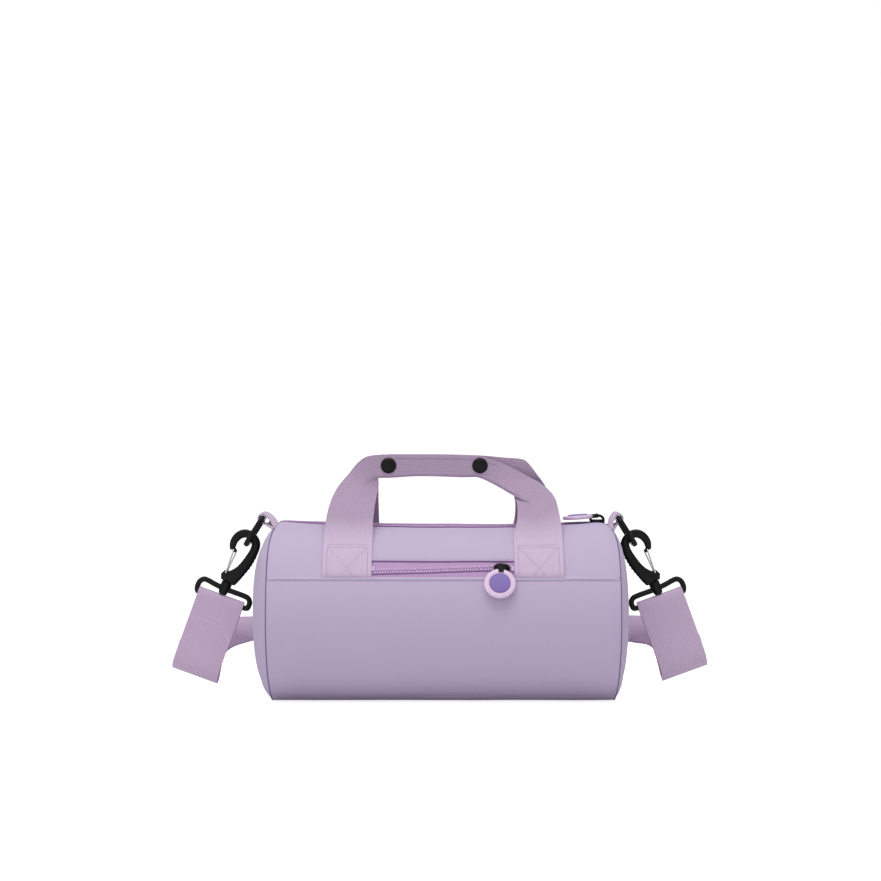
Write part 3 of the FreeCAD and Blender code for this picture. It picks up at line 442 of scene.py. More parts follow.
def smooth_path(points, steps):
    """Points along a smooth curve through the given tuples, with that many steps in each span."""
    path = []
    last = len(points) - 1
    for k in range(last):
        four = [points[max(k - 1, 0)], points[k], points[k + 1], points[min(k + 2, last)]]
        for s in range(steps):
            path.append(tuple(curve_value(*values, s / steps) for values in zip(*four)))
    path.append(tuple(points[-1]))
    return path


def curve_value(a, b, c, d, t):
    """Curve through b and c whose slopes there follow a and d."""
    return b + 0.5 * t * (c - a + t * (2 * a - 5 * b + 4 * c - d + t * (3 * (b - c) + d - a)))


def smooth_rows(rows, steps):
    """Rows of a grid along smooth curves through the given rows."""
    columns = [smooth_path([tuple(point) for point in column], steps) for column in zip(*rows)]
    return [[Vector(point) for point in row] for row in zip(*columns)]


def slab(name, outer, inner, material, skip=None, uvs=None, ring_shaped=False):
    """Closed sheet between two grids of points, without the cells that skip names."""
    rows = len(outer)
    columns = len(outer[0])
    points = [point for row in outer + inner for point in row]
    behind = rows * columns
    faces = []
    edges = set()
    for i in range(rows if ring_shaped else rows - 1):
        for j in range(columns - 1):
            if skip and skip(i, j):
                continue
            corner = i * columns + j
            beyond = (i + 1) % rows * columns + j
            ring = (corner, corner + 1, beyond + 1, beyond)
            faces.append(ring)
            faces.append(tuple(behind + k for k in reversed(ring)))
            edges.update(zip(ring, ring[1:] + ring[:1]))
    for a, b in sorted(edges):
        if (b, a) not in edges:
            faces.append((b, a, behind + a, behind + b))
    flat = [uv for row in uvs for uv in row] * 2 if uvs else None
    return add_mesh(name, points, faces, material, flat)


def step_at(points, k):
    """Step between the neighbours of a point in a line."""
    return points[min(k + 1, len(points) - 1)] - points[max(k - 1, 0)]


def grid_normals(grid):
    """Unit normal at each point of a grid."""
    columns = list(zip(*grid))
    normals = []
    for i, row in enumerate(grid):
        normals.append([step_at(columns[j], i).cross(step_at(row, j)).normalized() for j in range(len(row))])
    return normals


def raised(grid, normals, height):
    """A grid moved along its normals."""
    return [[p + n * height for p, n in zip(row, line)] for row, line in zip(grid, normals)]


def distances(points):
    """Distance along a line of points, at each of them."""
    travelled = [0.0]
    for here, there in zip(points, points[1:]):
        travelled.append(travelled[-1] + (there - here).length)
    return travelled


def middle_line(grid):
    return [row[len(row) // 2] for row in grid]


def webbing(name, grid, thickness, material, start=0.0):
    """Flat webbing along a grid of its middle surface, with the weave's coordinates in millimetres."""
    normals = grid_normals(grid)
    uvs = []
    for row, along in zip(grid, distances(middle_line(grid))):
        uvs.append([(across, start + along) for across in distances(row)])
    layers = [raised(grid, normals, height) for height in (thickness / 2, -thickness / 2)]
    return slab(name, *layers, material, uvs=uvs)


def length_along(grid):
    """Length of a grid of webbing along its middle line."""
    return distances(middle_line(grid))[-1]


def circle(sides):
    """Cosine and sine of equal turns."""
    turns = [math.tau * s / sides for s in range(sides)]
    return [(math.cos(turn), math.sin(turn)) for turn in turns]


def loft(rings, closed=False):
    """Points and faces of a skin over rings, with flat ends unless it runs back to its start."""
    sides = len(rings[0])
    count = len(rings)
    faces = []
    for k in range(count if closed else count - 1):
        near = k * sides
        far = (k + 1) % count * sides
        for s in range(sides):
            t = (s + 1) % sides
            faces.append((near + s, near + t, far + t, far + s))
    if not closed:
        faces.append(tuple(range(sides)))
        faces.append(tuple(range((count - 1) * sides, count * sides)))
    return [point for ring in rings for point in ring], faces


def tube(name, points, sections, material, closed=False, fullness=0.8):
    """Rounded rod along points; each section is its half width, half thickness and side direction."""
    count = len(points)
    rings = []
    for k, (point, (wide, thick, side)) in enumerate(zip(points, sections)):
        step = points[(k + 1) % count] - points[k - 1] if closed else step_at(points, k)
        along = step.normalized()
        across = (side - along * side.dot(along)).normalized()
        up = along.cross(across)
        rings.append([point + across * (wide * squared(c, fullness)) + up * (thick * squared(s, fullness))
                      for c, s in circle(16)])
    return add_mesh(name, *loft(rings, closed), material, sharp=ROD_SHARP_ANGLE)


def squared(value, power):
    """Fuller than a circle: pushes a sine or cosine towards a rounded square as the power falls."""
    return math.copysign(abs(value) ** power, value)


def lathe(name, profile, place, material, sides):
    """Turned piece: profile of (radius, height) about local Z, put in place by a matrix in millimetres."""
    rings = [[place @ Vector((radius * c, radius * s, height)) for c, s in circle(sides)]
             for radius, height in profile]
    return add_mesh(name, *loft(rings), material)


def capsule(centre, along, up, length, wide, high):
    """Points and faces of a small bar with rounded ends."""
    along = along.normalized()
    up = (up - along * up.dot(along)).normalized()
    across = along.cross(up)
    rim = [across * (wide * c) + up * (high * s) for c, s in circle(6)]
    rings = []
    for shift, size in ((-0.5, 0.35), (-0.36, 0.9), (0.36, 0.9), (0.5, 0.35)):
        rings.append([centre + along * (length * shift) + point * size for point in rim])
    return loft(rings)


def gather(pieces):
    """Points and faces of several small pieces as one."""
    points = []
    faces = []
    for verts, rings in pieces:
        faces += [tuple(len(points) + k for k in ring) for ring in rings]
        points += verts
    return points, faces


# Materials


def srgb(colour):
    """Colour for a node from the values that a screen shows, 0 to 255."""
    shares = [value / 255 for value in colour]
    linear = [s / 12.92 if s <= 0.04045 else ((s + 0.055) / 1.055) ** 2.4 for s in shares]
    return (*linear, 1.0)


def shade(colour, factor):
    return (*[channel * factor for channel in colour[:3]], 1.0)


def start_material(name, values):
    """Material with values on its shader's sockets, its nodes and the shader."""
    material = bpy.data.materials.new(name)
    material.use_nodes = True
    shader = material.node_tree.nodes["Principled BSDF"]
    for socket, value in values.items():
        shader.inputs[socket].default_value = value
    return material, material.node_tree, shader


def add_node(tree, kind, inputs, **settings):
    """New node with its settings, whose inputs are linked to sockets or set to values."""
    node = tree.nodes.new(kind)
    for key, value in settings.items():
        setattr(node, key, value)
    for key, value in inputs.items():
        if isinstance(value, bpy.types.NodeSocket):
            tree.links.new(value, node.inputs[key])
        else:
            node.inputs[key].default_value = value
    return node


def math_node(tree, operation, *values):
    return add_node(tree, "ShaderNodeMath", dict(enumerate(values)), operation=operation).outputs[0]


def mix_colour(tree, factor, first, second, blend="MIX"):
    inputs = {0: factor, 6: first, 7: second}
    return add_node(tree, "ShaderNodeMix", inputs, data_type="RGBA", blend_type=blend).outputs[2]


def mix_shades(tree, factor, colour, low, high):
    """One colour between two of its shades."""
    return mix_colour(tree, factor, shade(colour, low), shade(colour, high))


def threads(tree, direction, pitch):
    """Rows of threads a pitch apart in millimetres, along one of the weave's two directions."""
    weave = add_node(tree, "ShaderNodeUVMap", {}, uv_map="weave")
    inputs = {"Vector": weave.outputs["UV"], "Scale": math.tau / 20 / pitch, "Distortion": 0.6, "Detail": 1.0,
              "Detail Scale": 0.4}
    return add_node(tree, "ShaderNodeTexWave", inputs, bands_direction=direction).outputs["Fac"]


def blotches(tree, scale):
    """Cloudy values over the object, with features about 1 / scale metres across."""
    place = add_node(tree, "ShaderNodeTexCoord", {})
    inputs = {"Vector": place.outputs["Object"], "Scale": scale, "Detail": 2.0}
    return add_node(tree, "ShaderNodeTexNoise", inputs).outputs["Fac"]


def add_bump(tree, shader, height, strength, distance):
    inputs = {"Height": height, "Strength": strength, "Distance": distance}
    bump = add_node(tree, "ShaderNodeBump", inputs)
    tree.links.new(bump.outputs["Normal"], shader.inputs["Normal"])


def woven(name, colour, warp, weft, depth, relief, sheen):
    """Cloth of crossing threads: warp and weft are pitches, depth how dark the hollows are painted as shade,
    with the crowns painted lighter.
    """
    values = {"Roughness": 0.82, "Sheen Weight": sheen, "Sheen Roughness": 0.5, "Specular IOR Level": 0.25}
    material, tree, shader = start_material(name, values)
    base = srgb(colour)
    weft_share = 0.45
    height = math_node(tree, "MULTIPLY_ADD", threads(tree, "Y", weft), weft_share, threads(tree, "X", warp))
    tone = math_node(tree, "MULTIPLY", height, 1 / (1 + weft_share))
    # Painted shade in the weave's hollows and painted light on its crowns.
    weave_shade_colour = mix_shades(tree, tone, base, 1 - depth, 1 + depth * 0.5)
    worn = mix_shades(tree, blotches(tree, 26.0), base, 0.95, 1.05)
    fuzz = mix_shades(tree, blotches(tree, 900.0), base, 0.93, 1.06)
    cloudy = mix_colour(tree, 0.5, worn, fuzz)
    tree.links.new(mix_colour(tree, 0.45, cloudy, weave_shade_colour), shader.inputs["Base Color"])
    add_bump(tree, shader, height, relief, 0.0003)
    return material


def paint_shade_middle(material, shade_tint, near, far):
    """Paint shade on a woven finish: darker in the middle of its length, fading between two distances from
    there.
    """
    tree = material.node_tree
    socket = tree.nodes["Principled BSDF"].inputs["Base Color"]
    weave = add_node(tree, "ShaderNodeUVMap", {}, uv_map="weave")
    place = add_node(tree, "ShaderNodeSeparateXYZ", {"Vector": weave.outputs["UV"]})
    away = math_node(tree, "ABSOLUTE", place.outputs["Y"])
    share = add_node(tree, "ShaderNodeMapRange", {"Value": away, "From Min": near, "From Max": far})
    painted_shade_veil = mix_colour(tree, share.outputs["Result"], shade_tint, WHITE)
    tree.links.new(mix_colour(tree, 1.0, socket.links[0].from_socket, painted_shade_veil, "MULTIPLY"), socket)


def moulded(name, colour, roughness, grain, gloss_level=0.5):
    """Moulded plastic or rubber with a fine grain and slightly uneven gloss."""
    material, tree, shader = start_material(name, {"Roughness": roughness, "Specular IOR Level": gloss_level})
    tone = mix_shades(tree, blotches(tree, 60.0), srgb(colour), 0.92, 1.08)
    tree.links.new(tone, shader.inputs["Base Color"])
    spread = {"Value": blotches(tree, 240.0), "To Min": roughness - 0.08, "To Max": roughness + 0.08}
    gloss = add_node(tree, "ShaderNodeMapRange", spread)
    tree.links.new(gloss.outputs["Result"], shader.inputs["Roughness"])
    add_bump(tree, shader, blotches(tree, 1400.0), grain, 0.0002)
    return material


def drawn_steel(name, dark, light):
    material, tree, shader = start_material(name, {"Roughness": 0.24, "Metallic": 1.0})
    tone = mix_colour(tree, blotches(tree, 300.0), srgb(dark), srgb(light))
    tree.links.new(tone, shader.inputs["Base Color"])
    return material


BODY_CLOTH = woven("body_cloth", (200, 185, 214), 0.9, 1.1, 0.10, 0.22, 0.12)
LINING = woven("lining_cloth", (176, 158, 190), 0.8, 0.8, 0.12, 0.2, 0.0)
HANDLE_WEB = woven("handle_webbing", (212, 191, 217), 1.75, 1.2, 0.16, 0.4, 0.12)
# Painted shade on the handles' free legs and grips, which are darker than the sewn legs.
paint_shade_middle(HANDLE_WEB, (0.72, 0.67, 0.72, 1), 96.0, 122.0)
STRAP_WEB = woven("strap_webbing", (206, 182, 211), 1.75, 1.2, 0.14, 0.4, 0.12)
ZIP_TAPE = woven("zip_tape", (198, 163, 207), 0.8, 0.8, 0.2, 0.35, 0.05)
ZIP_TEETH = moulded("zip_teeth", (218, 187, 225), 0.45, 0.1)
# Dark cords that paint the shade in the gaps beside the zips' teeth and cloth edges.
PAINTED_SHADE_CORD = moulded("painted_shade_cord", (124, 92, 140), 0.7, 0.2)
PIPING = moulded("piping", (118, 92, 142), 0.7, 0.2)
THREAD = moulded("thread", (174, 140, 178), 0.75, 0.2)
GRIP_THREAD = moulded("grip_thread", (138, 110, 148), 0.75, 0.2)
PALE_THREAD = moulded("pale_thread", (236, 214, 238), 0.75, 0.2)
SEAM_THREAD = moulded("seam_thread", (172, 155, 188), 0.75, 0.2)
BLACK = moulded("black_plastic", (10, 10, 12), 0.36, 0.25, 0.14)
PULL_RIM = moulded("pull_rubber", (229, 203, 231), 0.5, 0.12)
PULL_FACE = moulded("pull_insert", (126, 104, 178), 0.5, 0.12)
STEEL = drawn_steel("steel_wire", (176, 174, 172), (222, 220, 216))
# Thickness, finish and slot of the two kinds of cloth
SHELL = (CLOTH, BODY_CLOTH, "body_fabric")
INNER = (LINING_CLOTH, LINING, "lining_fabric")


# Cloth shell


def bell(distance, width):
    """One at no distance, falling away smoothly over a width."""
    return math.exp(-(distance / width) ** 2)


def ripple(x, angle):
    """Small unevenness of the cloth: slack between the seams, drawn in and puckered at them."""
    arc = math.radians(angle) * BARREL_RADIUS
    to_seam = max(0.0, SEAM_X - abs(x))
    # The third value of each place only picks a part of the noise.
    slack = SLACK * noise.noise(Vector((x / SLACK_WAVE[0], arc / SLACK_WAVE[1], 0.3)))
    slack += CRUMPLE * noise.noise(Vector((x / CRUMPLE_WAVE[0], arc / CRUMPLE_WAVE[1], 4.1)))
    swell = noise.noise(Vector((arc / PUCKER_WAVE[1], x / PUCKER_WAVE[0], 9.0)))
    pucker = PUCKER * math.exp(-to_seam / PUCKER_REACH) * swell
    drawn = SEAM_DIP * bell(to_seam, SEAM_DIP_REACH)
    return slack * min(1.0, to_seam / SLACK_START) + pucker - drawn


def topness(angle):
    """One at the top of the barrel, falling to nothing at its sides."""
    return max(0.0, math.sin(math.radians(angle)))


def sag(x):
    """How far the top has sunk at a place along the bag."""
    share = x / SEAM_X
    return SAG + SAG_TILT * share - SAG_RISE * share ** 2


def ridge(x, angle):
    """How far the main zip stands up between the panels, at its teeth and beside them."""
    share = (MAIN_HALF - arc_between(angle, TOP_ANGLE)) / (MAIN_HALF - TOOTH_OUTER)
    rise = ZIP_RIDGE - RIDGE_TILT * x / SEAM_X
    return rise * max(0.0, min(1.0, share)) * (1 - (x / SEAM_X) ** 2)


def seam_inset(angle):
    """How far an end seam is drawn in, most at the top and a little at the foot."""
    under = max(0.0, -math.sin(math.radians(angle)))
    return SEAM_INSET + CORNER_INSET * topness(angle) ** CORNER_POWER + FOOT_INSET * under ** FOOT_POWER


def slump(angle):
    """How far the cloth has spread, most beside the foot."""
    from_foot = abs((angle + 270) % 360 - 180)
    return SLUMP * bell(from_foot, SLUMP_ANGLE)


def skin(x, angle, lift=0.0):
    """Point on the bag's soft barrel, that far outside the cloth's outer face."""
    turn = math.radians(angle)
    reach = BARREL_RADIUS + lift + ripple(x, angle) + slump(angle)
    height = AXIS_HEIGHT + reach * math.sin(turn)
    corner = CORNER_DROP * bell(SEAM_X - abs(x), CORNER_REACH) * topness(angle) ** CORNER_POWER
    height += ridge(x, angle) - sag(x) * topness(angle) ** SAG_POWER - corner
    above = (height + lift) / FOOT_SOFTNESS
    drawn = (SEAM_SHIFT - math.copysign(seam_inset(angle), x)) * abs(x / SEAM_X) ** SHIFT_POWER
    return Vector((x + drawn, -reach * math.cos(turn), FOOT_SOFTNESS * math.log1p(math.exp(above)) - lift))


def arc_between(angle, other):
    """Distance round the barrel between two angles."""
    return abs(math.radians(angle - other)) * BARREL_RADIUS


def rolled(distance, radius=EDGE_RADIUS):
    """How far a folded cloth edge turns in, at a distance from the fold."""
    return -EDGE_ROLL * bell(distance, radius)


def angle_steps(low, high):
    return steps_between(low, high, arc_angle(STEP_ARC))


def panel(name, node, cloth, xs, angles, lift, skip=None):
    """Cloth over part of the barrel; lift gives its height at an x and an angle."""
    thickness, material, slot = cloth
    layers = []
    for depth in (0, thickness):
        layers.append([[skin(x, angle, lift(x, angle) - depth) for x in xs] for angle in angles])
    uvs = [[(x, math.radians(angle) * BARREL_RADIUS) for x in xs] for angle in angles]
    obj = slab(name, *layers, material, skip, uvs)
    for i, (low, high) in enumerate(zip(angles, angles[1:])):
        for j, (left, right) in enumerate(zip(xs, xs[1:])):
            not (skip and skip(i, j))
    dress(obj, "bag", slot, node)


def front_upper():
    """Panel above the front seam, with the window of the pocket zip cut out of it."""
    left, right = POCKET_SPAN
    xs = steps_between(-SEAM_X, left, STEP_X) + steps_between(left, right, STEP_X)[1:]
    xs += steps_between(right, SEAM_X, STEP_X)[1:]
    angles = angle_steps(SEAM_ANGLE, WINDOW_TOP) + angle_steps(WINDOW_TOP, TOP_ANGLE - ZIP_EDGE)[1:]

    def lift(x, angle):
        low = rolled(arc_between(angle, TOP_ANGLE - ZIP_EDGE))
        if left <= x <= right:
            low += rolled(arc_between(angle, WINDOW_TOP))
        return low

    def in_window(i, j):
        return angles[i + 1] <= WINDOW_TOP + 0.01 and xs[j] >= left - 0.01 and xs[j + 1] <= right + 0.01

    panel("front_upper_cloth", "front_upper_panel", SHELL, xs, angles, lift, in_window)


def front_lower():
    """Panel below the front seam; its top edge is folded into a low welt."""
    xs = steps_between(-SEAM_X, SEAM_X, STEP_X)
    welt = arc_angle(WELT)
    angles = angle_steps(BASE_SEAM_ANGLE, SEAM_ANGLE - 2 * welt)
    angles += steps_between(SEAM_ANGLE - 2 * welt, SEAM_ANGLE, welt / 5)[1:]

    def lift(x, angle):
        down = arc_between(angle, SEAM_ANGLE)
        rise = WELT_RISE / (1 + math.exp((down - WELT) / WELT_SOFTNESS))
        fade = min(1.0, (SEAM_X - abs(x)) / WELT_FADE)
        groove = WELT_GROOVE * bell(down - WELT - GROOVE_HALF, GROOVE_HALF)
        base = BASE_SEAM_DIP * rolled(arc_between(angle, BASE_SEAM_ANGLE))
        return rise * fade - groove + rolled(down, WELT_EDGE_RADIUS) + base

    panel("front_lower_cloth", "front_lower_panel", SHELL, xs, angles, lift)


def back_and_base():
    """Panel from the main zip down the back and round under the bag."""
    xs = steps_between(-SEAM_X, SEAM_X, STEP_X)
    angles = angle_steps(TOP_ANGLE + ZIP_EDGE, 360 + BASE_SEAM_ANGLE)

    def lift(x, angle):
        base = BASE_SEAM_DIP * rolled(arc_between(angle, 360 + BASE_SEAM_ANGLE))
        return rolled(arc_between(angle, TOP_ANGLE + ZIP_EDGE)) + base

    panel("back_base_cloth", "back_base_panel", SHELL, xs, angles, lift)


def end_skin(side, share, angle, lift=0.0):
    """Point on a domed end: share runs from its middle to the seam."""
    ring = skin(side * SEAM_X, angle, lift)
    point = Vector((0, 0, AXIS_HEIGHT)).lerp(Vector((0, ring.y, ring.z)), share)
    crease = CREASE * bell(share - ROLL_SHARE, CREASE_SHARE)
    roll = ROLL_RISE * math.sin(math.pi * max(0.0, share - ROLL_SHARE) / (1 - ROLL_SHARE))
    swell = noise.noise(Vector((point.y / END_WAVE, point.z / END_WAVE, 7.0 * side)))
    slack = END_CRUMPLE * swell * (1 - share)
    bulge = END_BULGE * (1 - share ** DOME_POWER) + lift - crease + roll + slack
    base = SEAM_X + (abs(ring.x) - SEAM_X) * share ** 4
    return Vector((side * (base + bulge), point.y, point.z))


def end_panel(side, word):
    """Domed end, with a faint line pressed in where a soft roll beside its seam begins."""
    shares = steps_between(0.0, END_FINE_SHARE, END_STEP)
    shares += steps_between(END_FINE_SHARE, 1.0, END_FINE_STEP)[1:]
    angles = angle_steps(-180, 180)[:-1]
    layers = []
    for lift in (0, -CLOTH):
        layers.append([[end_skin(side, share, angle, lift) for share in shares] for angle in angles])
    uvs = [[(p.y, p.z) for p in row] for row in layers[0]]
    obj = slab(f"{word}_end_cloth", *layers, BODY_CLOTH, uvs=uvs, ring_shaped=True)
    dress(obj, "bag", "body_fabric", f"{word}_end_panel")


def cord(name, points, side, material, closed=False):
    """Thin round cord along points."""
    return tube(name, points, [(CORD_RADIUS, CORD_RADIUS, side)] * len(points), material, closed)


def seam_piping(side, word):
    """Thin dark cord along an end seam, kept above the floor."""
    points = [skin(side * SEAM_X, angle, 0.1) for angle in steps_between(-180, 178, 2.0)]
    for point in points:
        point.z = max(point.z, CORD_RADIUS)
    obj = cord(f"{word}_piping", points, X_AXIS, PIPING, closed=True)
    dress(obj, "bag", "piping", f"{word}_seam_piping")


def lining():
    """Thin inner bag, open along the main zip and at the pocket window."""
    xs = steps_between(-SEAM_X + LINING_MARGIN, SEAM_X - LINING_MARGIN, 4 * STEP_X)
    angles = steps_between(TOP_ANGLE + ZIP_EDGE, 360 + TOP_ANGLE - ZIP_EDGE, 4.0)

    def at_window(i, j):
        beside = xs[j + 1] > WINDOW_LOW.x and xs[j] < WINDOW_HIGH.x
        return beside and angles[i + 1] > 360 + SEAM_ANGLE and angles[i] < 360 + WINDOW_TOP

    panel("lining_cloth", "lining", INNER, xs, angles, lambda x, angle: -LINING_DEPTH, at_window)


def pocket_bag():
    """Flat pouch behind the front seam: its wall stands off the lining between sewn edges."""
    low, high = box_mm("pocket_bag")
    xs = steps_between(low.x, high.x, STEP_X)
    angles = steps_between(POCKET_BAG_LOW_ANGLE, WINDOW_TOP + POCKET_EDGE, 3.0)

    def lift(x, angle):
        edge = min(x - low.x, high.x - x, arc_between(angle, angles[0]), arc_between(angle, angles[-1]))
        depth = POCKET_BAG_DEPTH * min(1.0, edge / POCKET_BAG_SLOPE)
        return -LINING_DEPTH - LINING_CLOTH - POCKET_BAG_GAP - depth

    panel("pocket_bag_cloth", "pocket_bag", INNER, xs, angles, lift)


# Zips and pulls


def zip_line(zip_angle, x):
    """Angle of a zip's middle line: the pocket's one runs down towards the left of its slider."""
    if zip_angle == TOP_ANGLE:
        return zip_angle
    slider = joint_point("pocket_pull_lift").x
    share = (slider - x) / (slider - WINDOW_LOW.x)
    return zip_angle + arc_angle(POCKET_RISE - POCKET_SLANT * share)


def zip_tape(word, half, zip_angle, edge, side, span):
    """Tape from beside the teeth to the cloth's edge; side is +1 for the one further round."""
    far = zip_angle + side * (edge - arc_angle(0.1))
    xs = steps_between(*span, STEP_X)
    starts = [zip_line(zip_angle, x) + side * arc_angle(TOOTH_INNER) for x in xs]
    shares = steps_between(0.0, 1.0, 0.2)
    layers = []
    for lift in (TAPE_LIFT + TAPE_CLOTH / 2, TAPE_LIFT - TAPE_CLOTH / 2):
        layers.append([[skin(x, start + (far - start) * share, lift) for x, start in zip(xs, starts)]
                       for share in shares])
    uvs = [[(x, share * MAIN_HALF) for x in xs] for share in shares]
    obj = slab(f"{word}_tape_{half}", *layers, ZIP_TAPE, uvs=uvs)
    dress(obj, "bag", "zip_tape", f"{word}_zip_tape_{half}")


def zip_teeth(word, half, zip_angle, side, span):
    """One row of teeth; the two rows of a zip are half a pitch apart."""
    reach = TOOTH_OUTER - TOOTH_INNER
    offset = arc_angle(TOOTH_INNER + reach / 2) * side
    teeth = []
    last = span[1] - TOOTH_MARGIN - TOOTH_PITCH / 2
    for x in steps_between(span[0] + TOOTH_MARGIN, last, TOOTH_PITCH):
        x += TOOTH_PITCH / 4 * (1 + side)
        middle = zip_line(zip_angle, x)
        centre = skin(x, middle + offset, TAPE_LIFT + TOOTH_LIFT)
        along = skin(x, middle + 2 * offset) - skin(x, middle)
        up = centre - Vector((x, 0, AXIS_HEIGHT))
        teeth.append(capsule(centre, along, up, reach, TOOTH_RADIUS, TOOTH_HEIGHT))
    obj = add_mesh(f"{word}_teeth_{half}", *gather(teeth), ZIP_TEETH)
    dress(obj, "bag", "zip_coil", f"{word}_zip_coil_{half}")


def zip_shade_cord(name, angle, lift, span):
    """Dark cord along a zip, at an angle that depends on X, painting the shade of a gap there."""
    points = [skin(x, angle(x), lift) for x in steps_between(*span, STEP_X)]
    dress(cord(name, points, Z_AXIS, PAINTED_SHADE_CORD), "bag", "piping")


def zips():
    """Tapes and teeth of both zips, and the dark cords of painted shade beside them."""
    rows = (("main", ("front", "back"), TOP_ANGLE, ZIP_EDGE, MAIN_SPAN),
            ("pocket", ("lower", "upper"), POCKET_ANGLE, POCKET_EDGE, POCKET_SPAN))
    for word, halves, angle, edge, span in rows:
        for side, half in zip((-1, 1), halves):
            zip_tape(word, half, angle, edge, side, span)
            zip_teeth(word, half, angle, side, span)
    for side, half in ((-1, "front"), (1, "back")):
        place = TOP_ANGLE + side * (ZIP_EDGE - arc_angle(CORD_INSET))
        zip_shade_cord(f"main_shade_cord_{half}", lambda x: place, MAIN_CORD_LIFT, MAIN_SPAN)
    beside = arc_angle(TOOTH_OUTER + CORD_GAP)
    upper = WINDOW_TOP - arc_angle(CORD_INSET / 2)
    zip_shade_cord("pocket_shade_cord_upper", lambda x: upper, UPPER_CORD_LIFT, POCKET_SPAN)
    zip_shade_cord("pocket_shade_cord_lower", lambda x: zip_line(POCKET_ANGLE, x) - beside, LOWER_CORD_LIFT,
                  POCKET_SPAN)


def softened(node, body, slot, material, width, segments=2):
    """Copy of a hard node with its edges rounded off, which stands for it."""
    mesh = frame["nodes"][node].data.copy()
    work = bmesh.new()
    work.from_mesh(mesh)
    bmesh.ops.remove_doubles(work, verts=work.verts, dist=WELD)
    bmesh.ops.dissolve_limit(work, angle_limit=math.radians(1), verts=work.verts, edges=work.edges)
    limit = math.radians(BEVEL_ANGLE)
    sharp = [edge for edge in work.edges if edge.is_manifold and edge.calc_face_angle() > limit]
    bmesh.ops.bevel(work, geom=sharp, offset=width * MM, segments=segments, affect="EDGES",
                    clamp_overlap=True)
    obj = finished(f"{node}_soft", work, mesh, material, SOFT_SHARP_ANGLE)
    dress(obj, body, slot, node)


def facing(node, outward):
    """Matrix whose Z is the flat face of a disc-shaped node that looks outward, at the node's middle."""
    widest = max(frame["nodes"][node].data.polygons, key=lambda face: face.area)
    normal = Vector(widest.normal)
    if normal.dot(outward) < 0:
        normal = -normal
    low, high = box_mm(node)
    return Matrix.Translation((low + high) / 2) @ normal.to_track_quat("Z", "Y").to_matrix().to_4x4()


def zip_slider(word, angle, pin):
    """Slider with a rounded body and an arch over its middle; pin is where its pull turns."""
    place = Matrix.Translation(pin) @ Matrix.Rotation(math.radians(90 - angle), 4, "X")
    place @= Matrix.Translation((0, 0, -PIN_HEIGHT))
    rings = [[place @ Vector((x * scale, y * scale, z)) for x, y in SLIDER_OUTLINE]
             for scale, z in SLIDER_LEVELS]
    body = add_mesh(f"{word}_slider_body", *loft(rings), BLACK)
    arch = [place @ Vector((x, 0, z)) for x, z in smooth_path(SLIDER_ARCH, 4)]
    section = (*SLIDER_ARCH_SIZE, place.to_3x3() @ Y_AXIS)
    bridge = tube(f"{word}_slider_arch", arch, [section] * len(arch), BLACK)
    slider = join(f"{word}_slider_soft", [body, bridge])
    dress(slider, f"{word}_slider", "black_plastic", f"{word}_slider")


def pull_clip(word, place, pin):
    """Black clip that holds the rim of a round pull and reaches to its pin."""
    toward = (pin - place.translation).normalized()
    start = place.translation + toward * (PULL_RADIUS - CLIP_BITE)
    up = place.to_3x3() @ Z_AXIS
    bar = capsule((start + pin) / 2, toward, up, (pin - start).length, *CLIP_SIZE)
    dress(add_mesh(f"{word}_pull_clip", *bar, BLACK), f"{word}_pull", "black_plastic")


def disc_pull(word, outward, pin):
    """Soft round pull with a rounded rim, and a raised insert in each face."""
    place = facing(f"{word}_pull_inserts", outward)
    pull_clip(word, place, pin)
    rim = [(radius, -height) for radius, height in PULL_PROFILE] + PULL_PROFILE[::-1]
    disc = lathe(f"{word}_disc", rim, place, PULL_RIM, 64)
    dress(disc, f"{word}_pull", "pull_ring", f"{word}_pull_disc")
    faces = []
    for side, proud in INSERT_PROUD:
        dome = [(PULL_INSERT - 0.05, PULL_SOCKET - 0.05)]
        dome += [(PULL_INSERT - inset, PULL_HALF + proud * share) for inset, share in INSERT_DOME]
        dome.append((0.4, PULL_HALF + proud))
        turned = place @ Matrix.Diagonal((1, 1, side, 1))
        faces.append(lathe(f"{word}_face_{side}", dome, turned, PULL_FACE, 64))
    insert = join(f"{word}_inserts", faces)
    dress(insert, f"{word}_pull", "pull_insert", f"{word}_pull_inserts")


def pulls():
    rows = (("main", TOP_ANGLE, "main_pull_flip", Z_AXIS),
            ("pocket", POCKET_ANGLE, "pocket_pull_lift", -Y_AXIS))
    for word, angle, joint, outward in rows:
        pin = joint_point(joint)
        zip_slider(word, angle, pin)
        softened(f"{word}_pull_bail", f"{word}_pull", "black_plastic", BLACK, 0.25)
        softened(f"{word}_zip_stops", "bag", "zip_coil", ZIP_TEETH, 0.3)
        disc_pull(word, outward, pin)


# Handles


def on_lean(place):
    """Point of the front handle from its X and Z: the webbing leans back from its hinge to the grip."""
    x, z = place
    hinge = joint_point("front_handle_fold")
    grip_bottom = box_mm("front_handle")[1].z - GRIP_HEIGHT
    share = min(1.0, (z - hinge.z) / (grip_bottom - hinge.z))
    share += LEAN_BOW * share * (1 - share)
    return Vector((x, hinge.y + (-GRIP_Y - hinge.y) * share, z))


def folded_row(station):
    """Points across the webbing, from its outer edge over the fold line to its inner edge."""
    fold, outer, inner = [on_lean(place) for place in station[:3]]
    behind = station[3]
    layer = Y_AXIS * ((WEB_CLOTH / 2 + 0.1) * behind)
    spare = math.sqrt(max(0.0, WEB_HALF ** 2 - (inner - fold).length ** 2)) * FOLD_SLACK * (1 - behind)
    row = [fold.lerp(outer, share) - layer for share in WEB_SHARES]
    row.append(fold)
    for share in reversed(WEB_SHARES):
        row.append(fold.lerp(inner, share) + layer + Y_AXIS * (spare * share))
    return row


